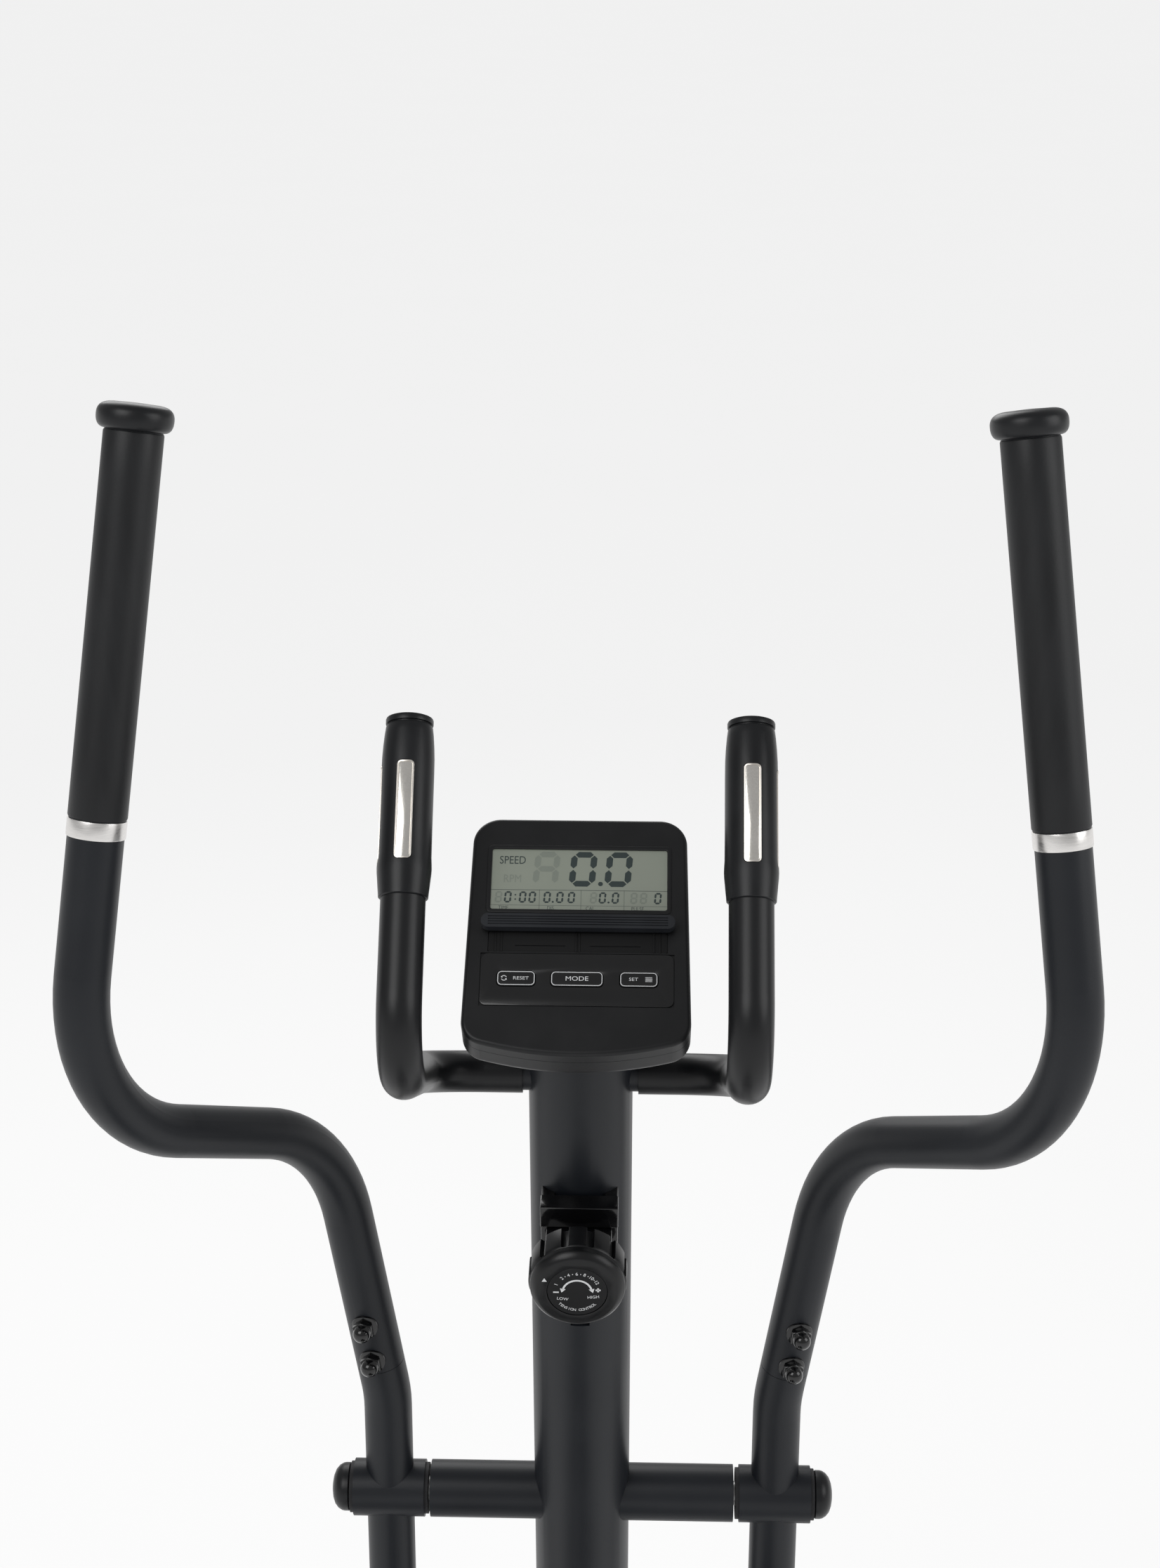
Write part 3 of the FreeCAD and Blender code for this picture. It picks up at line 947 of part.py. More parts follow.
def build_cables():
    """Brake cable and speed sensor wire, both held inside the mast, post, beam and cover."""
    brake = [mast_point(1036.0, 52.0), mast_point(985.0, 24.0), mast_point(170.0, 22.0), Vector(0, 473.0, 106.0)]
    brake += [Vector(0, reach, level) for reach, level in TENSION_ROUTE]
    publish(feature("brake_cable_run", swept(brake, 22.0, 2.0)), "brake_cable")
    wire = [console_point(8, 35, -14.5), mast_point(1255.0, -8.0) + X_AXIS * 8,
            mast_point(1225.0, -22.0) + X_AXIS * 8, mast_point(170.0, -22.0) + X_AXIS * 8,
            Vector(8, 514.0, 112.0)]
    wire += [Vector(8, reach, level) for reach, level in SENSOR_ROUTE]
    publish(feature("sensor_wire_run", swept(wire, 17.0, 1.7)), "sensor_wire")
    for name, points, radius in (("brake_cable", brake, 2.0), ("sensor_wire", wire, 1.7)):
        run = rounded_path(points, 22.0 if name == "brake_cable" else 17.0).Length
        print("%s: %.0f mm long, section times length %.0f mm3" % (name, run, run * math.pi * radius ** 2))
    publish(box("sensor_block", (16.0, 20.0, 25.0), Vector(8.0, 104.0, 113.0 + 12.6 + 3.5)), "speed_sensor")


# ---- nodes that hold several solids -----------------------------------------------------------------

SHARED_NODES = {
    "base_frame": ["main_beam", "front_post"],
    "mast_and_pivot": ["mast", "pivot_tube"],
    "frame_bolts": ["mast_bolts", "stabilizer_bolts", "bar_screws"],
    "cover_screws": ["console_screws", "housing_screws"],
    "foot_end_caps": ["front_end_caps", "rear_end_caps"],
    "front_foot": ["front_stabilizer", "wheel_forks"],
    "drive_frame": ["crank_support", "flywheel_support", "brake_post", "idler_bracket"],
    "axles_and_bearings": ["flywheel_axle", "crank_bearings"],
    "crank": ["crank_axle", "crank_arms"],
    "flywheel_and_pulley": ["flywheel", "flywheel_pulley"],
    "plastic_caps": ["axle_caps", "handlebar_end_caps"],
    "pulse_grips": ["left_pulse_grip", "right_pulse_grip"],
    "speed_sensor_wire": ["speed_sensor", "sensor_wire"],
    "display": ["lcd_module", "circuit_board"],
    "left_grip": ["left_hand_grip", "left_grip_cap"],
    "right_grip": ["right_hand_grip", "right_grip_cap"],
    "left_pedal_pins": ["left_crank_pin", "left_eye_bush", "left_link_pin"],
    "right_pedal_pins": ["right_crank_pin", "right_eye_bush", "right_link_pin"],
}


def share_nodes():
    """Gather the pieces that are welded, paired or alike, and never move apart, into shared nodes."""
    for node, names in SHARED_NODES.items():
        pieces = [item for item in NODES if item.Label in names]
        for piece in pieces:
            NODES.remove(piece)
        publish(group(node, *pieces), node)


# ---- check and export -------------------------------------------------------------------------------

def check_document():
    """Stop on any object that failed or any sub-part without a valid solid."""
    doc.recompute()
    for item in doc.Objects:
        if "Invalid" in item.State or "Error" in item.State:
            raise RuntimeError("%s failed: %s" % (item.Name, item.State))
    for item in NODES:
        if item.Shape.isNull() or not item.Shape.isValid() or not item.Shape.Solids:
            raise RuntimeError("%s has no valid solid" % item.Label)


def export_nodes():
    """Write one STEP file for each sub-part."""
    os.makedirs("parts", exist_ok=True)
    for item in NODES:
        item.Shape.exportStep(os.path.join("parts", item.Label + ".step"))
    print("%d sub-parts written" % len(NODES))


def main():
    """Build every sub-part, check them all, then write them."""
    build_beam()
    build_post_and_mast()
    build_pivot()
    build_feet()
    for side, hand in SIDES.items():
        build_arm(side, hand)
        build_pedal(side, hand)
    build_crank()
    build_supports()
    build_flywheel()
    build_brake()
    build_housing()
    build_handlebar()
    build_console()
    build_tension()
    build_cables()
    share_nodes()
    check_document()
    export_nodes()


main()
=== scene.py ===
"""Looks of the elliptical trainer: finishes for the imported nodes, and detailed pieces."""

import logging
import math
from dataclasses import dataclass, field
from enum import Enum
from typing import Optional, Sequence, Union

import bpy
from mathutils import Matrix, Vector

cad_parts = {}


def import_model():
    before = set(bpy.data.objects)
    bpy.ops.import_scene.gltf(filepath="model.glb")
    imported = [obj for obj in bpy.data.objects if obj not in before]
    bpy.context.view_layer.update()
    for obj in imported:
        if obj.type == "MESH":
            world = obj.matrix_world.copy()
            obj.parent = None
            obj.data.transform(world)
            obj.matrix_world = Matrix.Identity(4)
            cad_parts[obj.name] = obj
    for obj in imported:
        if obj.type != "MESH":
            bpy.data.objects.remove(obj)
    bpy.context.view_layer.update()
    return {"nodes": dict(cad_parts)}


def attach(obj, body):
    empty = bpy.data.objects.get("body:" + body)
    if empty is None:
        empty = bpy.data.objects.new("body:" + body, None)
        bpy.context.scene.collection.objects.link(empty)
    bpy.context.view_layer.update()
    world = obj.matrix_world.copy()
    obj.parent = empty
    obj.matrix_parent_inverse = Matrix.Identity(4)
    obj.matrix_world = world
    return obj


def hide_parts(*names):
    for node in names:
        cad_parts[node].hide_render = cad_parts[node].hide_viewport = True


LOG = logging.getLogger("trainer")
MM = 0.001
Point = Sequence[float]
Number = Union[float, "Socket"]


class Side(Enum):
    """The two sides of the machine; the value is the sign of X."""

    LEFT = -1
    RIGHT = 1

    @property
    def word(self) -> str:
        """Side name as the nodes spell it."""
        return self.name.lower()


# ---- shader graph -----------------------------------------------------------------------------------


class Socket:
    """One output socket, with arithmetic that adds Math nodes."""

    def __init__(self, graph: "Graph", output: bpy.types.NodeSocket) -> None:
        """Wrap an output socket of a graph."""
        self.graph = graph
        self.output = output

    def _maths(self, operation: str, *values: Number) -> "Socket":
        """Add one Math node on these values."""
        inputs = dict(enumerate(values))
        return self.graph.node("ShaderNodeMath", {"operation": operation}, inputs)

    def __add__(self, other: Number) -> "Socket":
        """Sum."""
        return self._maths("ADD", self, other)

    __radd__ = __add__

    def __mul__(self, other: Number) -> "Socket":
        """Product."""
        return self._maths("MULTIPLY", self, other)

    __rmul__ = __mul__

    def above(self, limit: float) -> "Socket":
        """1 where the value is above the limit, else 0."""
        return self._maths("GREATER_THAN", self, limit)


class Graph:
    """Node tree of one material."""

    def __init__(self, name: str) -> None:
        """Start a material with only its output node."""
        self.material = bpy.data.materials.new(name)
        self.material.use_nodes = True
        self.tree = self.material.node_tree
        self.tree.nodes.clear()

    def node(self, kind: str, settings: Optional[dict] = None, inputs: Optional[dict] = None,
             output: Union[int, str] = 0) -> Socket:
        """Add a node.

        Args:
            kind: the node's type.
            settings: properties set first, such as an operation; "stops" fills a colour ramp.
            inputs: a value or a Socket for each input, by name or index.
            output: the output to return.

        Returns:
            The chosen output socket.
        """
        made = self.tree.nodes.new(kind)
        for name, value in (settings or {}).items():
            if name == "stops":
                self._fill_ramp(made.color_ramp, value)
            else:
                setattr(made, name, value)
        for name, value in (inputs or {}).items():
            if isinstance(value, Socket):
                self.tree.links.new(value.output, made.inputs[name])
            else:
                made.inputs[name].default_value = value
        return Socket(self, made.outputs[output]) if made.outputs else None

    @staticmethod
    def _fill_ramp(ramp: bpy.types.ColorRamp, stops: Sequence[tuple[float, float]]) -> None:
        """Give a ramp grey stops, each a place and a level."""
        while len(ramp.elements) < len(stops):
            ramp.elements.new(0.5)
        for element, (place, level) in zip(ramp.elements, stops):
            element.position = place
            element.color = (level, level, level, 1.0)

    def place(self) -> Socket:
        """Position on the piece, in metres."""
        return self.node("ShaderNodeTexCoord", output="Object")

    def noise(self, size: float, detail: float = 2.0, stretch: Optional[Point] = None) -> Socket:
        """Smooth noise.

        Args:
            size: the size of its features, in metres.
            detail: octaves.
            stretch: scale along each axis, for brushed surfaces.

        Returns:
            Its value, from 0 to 1.
        """
        where = self.place()
        if stretch is not None:
            where = self.node("ShaderNodeMapping", None, {"Vector": where, "Scale": tuple(stretch)})
        return self.node("ShaderNodeTexNoise", None, {"Vector": where, "Scale": 1 / size, "Detail": detail})

    def mix(self, amount: Number, first: Point, second: Point) -> Socket:
        """Colour between two, by an amount from 0 to 1."""
        return self.node("ShaderNodeMix", {"data_type": "RGBA"},
                         {0: amount, 6: (*first, 1.0), 7: (*second, 1.0)}, 2)

    def ramp(self, value: Socket, *stops: tuple[float, float]) -> Socket:
        """Grey ramp on a value."""
        return self.node("ShaderNodeValToRGB", {"stops": stops}, {"Fac": value})

    def surface(self, **inputs: Union[Number, tuple]) -> bpy.types.Material:
        """Finish the material with a Principled shader; underscores in names stand for spaces."""
        named = {name.replace("_", " "): value for name, value in inputs.items()}
        shader = self.node("ShaderNodeBsdfPrincipled", None, named)
        self.node("ShaderNodeOutputMaterial", None, {"Surface": shader})
        return self.material


# ---- finishes ---------------------------------------------------------------------------------------


@dataclass(frozen=True)
class PowderCoat:
    """Satin paint with a fine orange-peel grain, dusted slightly lighter in patches."""

    name: str = "powder_coat"
    color: tuple = (0.0062, 0.0076, 0.0108)
    dusty: tuple = (0.0102, 0.012, 0.0155)
    roughness: float = 0.4
    sheen: float = 0.34
    grain: float = 0.00055
    depth: float = 0.00003

    def material(self) -> bpy.types.Material:
        """Build the material."""
        graph = Graph(self.name)
        speckle = graph.noise(self.grain, 3.0)
        cloud = graph.noise(0.05, 3.0)
        tone = graph.ramp(cloud * 0.7 + speckle * 0.3, (0.35, 0.0), (0.68, 1.0))
        bump = graph.node("ShaderNodeBump", None,
                          {"Height": speckle, "Distance": self.depth, "Strength": 1.0})
        return graph.surface(Base_Color=graph.mix(tone, self.color, self.dusty),
                             Roughness=speckle * 0.12 + cloud * 0.06 + (self.roughness - 0.09), Normal=bump,
                             Specular_IOR_Level=self.sheen)


@dataclass(frozen=True)
class Moulding:
    """Moulded plastic with a spark-eroded grain, or none where the mould was polished."""

    name: str
    color: tuple = (0.0055, 0.0058, 0.0066)
    worn: tuple = (0.0085, 0.0088, 0.0096)
    roughness: float = 0.4
    grain: float = 0.0004
    depth: float = 0.00002
    coat: float = 0.0
    sheen: float = 0.32

    def material(self) -> bpy.types.Material:
        """Build the material."""
        graph = Graph(self.name)
        pits = graph.node("ShaderNodeTexVoronoi", None, {"Vector": graph.place(), "Scale": 1 / self.grain})
        swirl = graph.noise(0.03, 4.0)
        tone = graph.ramp(swirl, (0.4, 0.0), (0.7, 1.0))
        bump = graph.node("ShaderNodeBump", None, {"Height": pits, "Distance": self.depth, "Strength": 1.0})
        return graph.surface(Base_Color=graph.mix(tone, self.color, self.worn),
                             Roughness=swirl * 0.1 + (self.roughness - 0.05), Normal=bump,
                             Coat_Weight=self.coat, Specular_IOR_Level=self.sheen)


@dataclass(frozen=True)
class SoftGrip:
    """Dull rubbery sleeve with a slight orange peel and faint streaks along it."""

    name: str = "soft_grip"
    color: tuple = (0.0052, 0.0057, 0.0068)
    rubbed: tuple = (0.0088, 0.0094, 0.0108)
    roughness: float = 0.46
    sheen: float = 0.34

    def material(self) -> bpy.types.Material:
        """Build the material."""
        graph = Graph(self.name)
        peel = graph.noise(0.0016, 3.0)
        streak = graph.noise(0.012, 3.0, (1.0, 1.0, 0.12))
        tone = graph.ramp(streak, (0.38, 0.0), (0.66, 1.0))
        bump = graph.node("ShaderNodeBump", None, {"Height": peel, "Distance": 0.00006, "Strength": 0.8})
        return graph.surface(Base_Color=graph.mix(tone, self.color, self.rubbed),
                             Roughness=streak * 0.14 + (self.roughness - 0.07), Normal=bump,
                             Specular_IOR_Level=self.sheen)


@dataclass(frozen=True)
class BrushedMetal:
    """Steel with fine scratches along one axis."""

    name: str
    color: tuple = (0.62, 0.61, 0.59)
    shade: tuple = (0.46, 0.455, 0.45)
    roughness: float = 0.28
    stretch: tuple = (1.0, 1.0, 0.04)
    grain: float = 0.0005

    def material(self) -> bpy.types.Material:
        """Build the material."""
        graph = Graph(self.name)
        lines = graph.noise(self.grain, 2.0, self.stretch)
        stain = graph.noise(0.02, 3.0)
        tone = graph.ramp(lines * 0.6 + stain * 0.4, (0.35, 0.0), (0.65, 1.0))
        bump = graph.node("ShaderNodeBump", None, {"Height": lines, "Distance": 0.00001, "Strength": 0.6})
        return graph.surface(Base_Color=graph.mix(tone, self.shade, self.color), Metallic=1.0,
                             Roughness=lines * 0.16 + (self.roughness - 0.08), Normal=bump)


@dataclass(frozen=True)
class LcdFilm:
    """Grey-green reflective display film under a clear coat."""

    name: str = "lcd_film"
    color: tuple = (0.235, 0.262, 0.213)
    edge: tuple = (0.29, 0.315, 0.265)

    def material(self) -> bpy.types.Material:
        """Build the material."""
        graph = Graph(self.name)
        drift = graph.noise(0.06, 2.0)
        film = graph.noise(0.0003, 1.0)
        return graph.surface(Base_Color=graph.mix(drift, self.color, self.edge),
                             Roughness=film * 0.1 + 0.3, Coat_Weight=0.6, Coat_Roughness=0.08)


@dataclass(frozen=True)
class Ink:
    """Printed or displayed mark, slightly uneven."""

    name: str
    color: tuple
    thin: tuple
    roughness: float = 0.5

    def material(self) -> bpy.types.Material:
        """Build the material."""
        graph = Graph(self.name)
        patch = graph.noise(0.0009, 2.0)
        return graph.surface(Base_Color=graph.mix(patch, self.color, self.thin),
                             Roughness=patch * 0.1 + self.roughness)


@dataclass(frozen=True)
class CastIron:
    """Turned iron with ring marks and a trace of oil."""

    name: str = "turned_iron"

    def material(self) -> bpy.types.Material:
        """Build the material."""
        graph = Graph(self.name)
        rings = graph.noise(0.0012, 2.0, (0.05, 1.0, 1.0))
        oil = graph.noise(0.04, 4.0)
        return graph.surface(Base_Color=graph.mix(oil, (0.16, 0.16, 0.165), (0.3, 0.3, 0.3)), Metallic=1.0,
                             Roughness=rings * 0.2 + 0.3)


class Palette:
    """Every finish of the machine, built once."""

    def __init__(self) -> None:
        """Build the materials."""
        finishes = [
            PowderCoat(), SoftGrip(),
            PowderCoat("bar_paint", (0.0052, 0.0055, 0.0064), (0.0082, 0.0086, 0.0098), 0.36, 0.32, 0.0004,
                       0.00002),
            Moulding("console_shell"),
            Moulding("grip_shell", (0.0055, 0.006, 0.0072), (0.009, 0.0097, 0.0112), 0.36),
            Moulding("polished_black", (0.003, 0.003, 0.0034), (0.0042, 0.0042, 0.0048), 0.16, 0.0008,
                     0.000003, 0.5),
            Moulding("key_gloss", (0.0036, 0.0037, 0.0042), (0.005, 0.0051, 0.0057), 0.24, 0.0008,
                     0.000003, 0.4),
            Moulding("knob_plastic", (0.004, 0.0042, 0.0048), (0.0068, 0.007, 0.0078), 0.3, 0.0005,
                     0.00001),
            Moulding("housing_shell", (0.016, 0.0165, 0.019), (0.023, 0.024, 0.027), 0.46, 0.0011, 0.00005),
            Moulding("disc_shell", (0.03, 0.031, 0.034), (0.042, 0.043, 0.047), 0.4, 0.0011, 0.00004),
            Moulding("pedal_plastic", (0.012, 0.012, 0.0135), (0.02, 0.02, 0.022), 0.56, 0.0009, 0.00007),
            Moulding("foot_rubber", (0.011, 0.011, 0.012), (0.017, 0.017, 0.018), 0.62, 0.0008, 0.00005),
            Moulding("board_green", (0.01, 0.06, 0.03), (0.015, 0.08, 0.04), 0.4, 0.0008, 0.00001),
            Moulding("belt_rubber", (0.01, 0.01, 0.01), (0.016, 0.016, 0.016), 0.6, 0.0006, 0.00005),
            BrushedMetal("bright_ring", (0.86, 0.84, 0.82), (0.74, 0.725, 0.71), 0.3, (0.06, 0.06, 1.0)),
            BrushedMetal("contact_plate", (0.88, 0.85, 0.8), (0.78, 0.755, 0.71), 0.16),
            BrushedMetal("plate_rim", (0.83, 0.79, 0.73), (0.74, 0.7, 0.65), 0.32),
            BrushedMetal("bare_steel", (0.5, 0.5, 0.5), (0.36, 0.36, 0.36), 0.34, (0.08, 1.0, 1.0)),
            LcdFilm(), CastIron(),
            Ink("lcd_segment", (0.022, 0.036, 0.036), (0.03, 0.045, 0.044), 0.35),
            Ink("lcd_ghost", (0.2, 0.225, 0.19), (0.21, 0.235, 0.2), 0.35),
            Ink("lcd_label", (0.06, 0.075, 0.068), (0.075, 0.09, 0.082), 0.35),
            # Recess lining: darker and duller than the console shell, to paint the shade under the ledge.
            Moulding("painted_shade_well", (0.0022, 0.0023, 0.0026), (0.003, 0.0031, 0.0034), 0.7, 0.0006, 0.00001),
            Moulding("dial_black", (0.0032, 0.0034, 0.004), (0.0048, 0.005, 0.0056), 0.38, 0.0006, 0.000005),
            Moulding("ledge_satin", (0.014, 0.0155, 0.019), (0.02, 0.022, 0.026), 0.36, 0.0005, 0.000015),
            Ink("white_print", (0.72, 0.73, 0.74), (0.6, 0.61, 0.62)),
        ]
        self.materials = {finish.name: finish.material() for finish in finishes}

    def paint(self, piece: bpy.types.Object, name: str) -> None:
        """Give a whole piece one finish."""
        piece.data.materials.clear()
        piece.data.materials.append(self.materials[name])


# ---- modelling --------------------------------------------------------------------------------------


class Bench:
    """Hand tools: primitives at their place, edit-mode steps and applied modifiers."""

    @staticmethod
    def clear() -> None:
        """Select nothing."""
        bpy.ops.object.select_all(action="DESELECT")

    @classmethod
    def pick(cls, *pieces: bpy.types.Object) -> None:
        """Select these pieces, the last one active."""
        cls.clear()
        for piece in pieces:
            piece.select_set(True)
        bpy.context.view_layer.objects.active = pieces[-1]

    @classmethod
    def added(cls, name: str) -> bpy.types.Object:
        """Name the primitive that was just added, and apply its size and place."""
        piece = bpy.context.object
        piece.name = piece.data.name = name
        cls.pick(piece)
        bpy.ops.object.transform_apply(location=True, rotation=True, scale=True)
        return piece

    @classmethod
    def block(cls, name: str, size: Point, centre: Point = (0, 0, 0), bevel: float = 0.0,
              segments: int = 3) -> bpy.types.Object:
        """Box with rounded edges.

        Args:
            name: the piece's name.
            size: its three sizes.
            centre: its middle.
            bevel: the edge radius, or 0 for sharp edges.
            segments: faces across each rounded edge.

        Returns:
            The piece.
        """
        cls.clear()
        bpy.ops.mesh.primitive_cube_add(size=1.0, location=tuple(centre), scale=tuple(size))
        piece = cls.added(name)
        if bevel:
            cls.rounded(piece, bevel, segments)
        return piece

    @classmethod
    def turned(cls, name: str, profile: Sequence[tuple[float, float]],
               vertices: int = 96) -> bpy.types.Object:
        """Round piece about Z, drawn out ring by ring from a disc.

        Args:
            name: the piece's name.
            profile: (radius, height) of each ring from the first face to the last.
            vertices: points round each ring.

        Returns:
            The piece.
        """
        cls.clear()
        radius, height = profile[0]
        bpy.ops.mesh.primitive_circle_add(vertices=vertices, radius=radius, fill_type="NGON",
                                          location=(0, 0, height))
        piece = cls.added(name)
        bpy.ops.object.mode_set(mode="EDIT")
        bpy.ops.mesh.select_all(action="SELECT")
        for next_radius, next_height in profile[1:]:
            rise = (0, 0, next_height - height)
            bpy.ops.mesh.extrude_region_move(TRANSFORM_OT_translate={"value": rise})
            grow = next_radius / radius
            bpy.ops.transform.resize(value=(grow, grow, 1.0), center_override=(0, 0, next_height))
            radius, height = next_radius, next_height
        bpy.ops.object.mode_set(mode="OBJECT")
        return cls.sound(piece)

    @classmethod
    def plate(cls, name: str, outline: Sequence[Point], low: float, high: float,
              bevel: float = 0.0, segments: int = 3) -> bpy.types.Object:
        """Flat plate: a ring primitive drawn to an outline and extruded.

        Args:
            name: the piece's name.
            outline: points in XY, anticlockwise.
            low: height of its back.
            high: height of its front.
            bevel: radius of the front edge.
            segments: faces across that edge.

        Returns:
            The piece.
        """
        cls.clear()
        bpy.ops.mesh.primitive_circle_add(vertices=len(outline), radius=1.0, fill_type="NGON")
        piece = cls.added(name)
        for vertex, (across, up) in zip(piece.data.vertices, outline):
            vertex.co = (across, up, low)
        bpy.ops.object.mode_set(mode="EDIT")
        bpy.ops.mesh.select_all(action="SELECT")
        bpy.ops.mesh.extrude_region_move(TRANSFORM_OT_translate={"value": (0, 0, high - low)})
        if bevel:
            bpy.ops.mesh.select_mode(type="FACE")
            bpy.ops.mesh.bevel(offset=bevel, segments=segments, affect="EDGES")
        bpy.ops.object.mode_set(mode="OBJECT")
        return cls.sound(piece)

    @classmethod
    def sound(cls, piece: bpy.types.Object) -> bpy.types.Object:
        """Merge doubles and turn every face outwards."""
        cls.pick(piece)
        bpy.ops.object.mode_set(mode="EDIT")
        bpy.ops.mesh.select_all(action="SELECT")
        bpy.ops.mesh.remove_doubles(threshold=1e-7)
        bpy.ops.mesh.normals_make_consistent(inside=False)
        bpy.ops.object.mode_set(mode="OBJECT")
        return piece

    @classmethod
    def rounded(cls, piece: bpy.types.Object, radius: float, segments: int = 3,
                angle: float = 40.0) -> bpy.types.Object:
        """Round the edges that are sharper than an angle."""
        return cls.modified(piece, "BEVEL", width=radius, segments=segments, limit_method="ANGLE",
                            angle_limit=math.radians(angle), harden_normals=False)

    @classmethod
    def modified(cls, piece: bpy.types.Object, kind: str, **settings: object) -> bpy.types.Object:
        """Add one modifier and apply it."""
        cls.pick(piece)
        modifier = piece.modifiers.new(kind.lower(), kind)
        for name, value in settings.items():
            setattr(modifier, name, value)
        bpy.ops.object.modifier_apply(modifier=modifier.name)
        return piece

    @classmethod
    def cut(cls, piece: bpy.types.Object, *tools: bpy.types.Object) -> bpy.types.Object:
        """Take each tool's shape out of a piece, and throw the tool away."""
        for tool in tools:
            cls.modified(piece, "BOOLEAN", object=tool, operation="DIFFERENCE", solver="EXACT")
            bpy.data.objects.remove(tool)
        return piece

    @classmethod
    def joined(cls, name: str, pieces: Sequence[bpy.types.Object]) -> bpy.types.Object:
        """Join pieces into one object, which keeps each one's finish."""
        cls.pick(*pieces)
        if len(pieces) > 1:
            bpy.ops.object.join()
        piece = bpy.context.object
        piece.name = piece.data.name = name
        return piece

    @classmethod
    def placed(cls, piece: bpy.types.Object, matrix: Matrix) -> bpy.types.Object:
        """Move a piece by a matrix and apply it, so that the object stays at the origin."""
        cls.pick(piece)
        piece.matrix_world = matrix
        bpy.ops.object.transform_apply(location=True, rotation=True, scale=True)
        return piece

    @classmethod
    def smooth(cls, piece: bpy.types.Object, angle: float = 35.0) -> bpy.types.Object:
        """Shade smooth where faces meet at less than an angle."""
        cls.pick(piece)
        bpy.ops.object.shade_smooth_by_angle(angle=math.radians(angle))
        return piece

    @classmethod
    def lettering(cls, name: str, words: str, height: float, centre: Point, relief: float,
                  turn: float = 0.0) -> bpy.types.Object:
        """Flat printed words.

        Args:
            name: the piece's name.
            words: generic words or numbers.
            height: capital height.
            centre: middle of the words, at the print's back.
            relief: thickness of the print.
            turn: turn about Z, in radians.

        Returns:
            The print as a mesh.
        """
        cls.clear()
        bpy.ops.object.text_add(location=(0, 0, 0))
        piece = bpy.context.object
        piece.data.body = words
        piece.data.align_x = "CENTER"
        piece.data.align_y = "CENTER"
        piece.data.size = height / 0.7
        piece.data.extrude = relief / 2
        piece.data.resolution_u = 3
        cls.pick(piece)
        bpy.ops.object.convert(target="MESH")
        piece = bpy.context.object
        piece.name = piece.data.name = name
        middle = Vector(centre) + Vector((0, 0, relief / 2))
        return cls.placed(piece, Matrix.Translation(middle) @ Matrix.Rotation(turn, 4, "Z"))


def rounded_box(width: float, height: float, radius: float, centre: Point = (0, 0), steps: int = 6) -> list:
    """Outline of a rounded rectangle, anticlockwise."""
    points = []
    for corner in range(4):
        middle = math.pi / 4 + corner * math.pi / 2
        across = centre[0] + math.copysign(width / 2 - radius, math.cos(middle))
        up = centre[1] + math.copysign(height / 2 - radius, math.sin(middle))
        for step in range(steps + 1):
            angle = corner * math.pi / 2 + step / steps * math.pi / 2
            points.append((across + radius * math.cos(angle), up + radius * math.sin(angle)))
    return points


def frame_of(origin: Point, outward: Point, across: Point = (1, 0, 0)) -> Matrix:
    """Matrix whose Z runs along outward and whose X lies as near as it can to across."""
    forward = Vector(outward).normalized()
    side = (Vector(across) - forward * Vector(across).dot(forward)).normalized()
    up = forward.cross(side)
    turn = Matrix((side, up, forward)).transposed()
    return Matrix.Translation(Vector(origin)) @ turn.to_4x4()


# ---- swing arms -------------------------------------------------------------------------------------


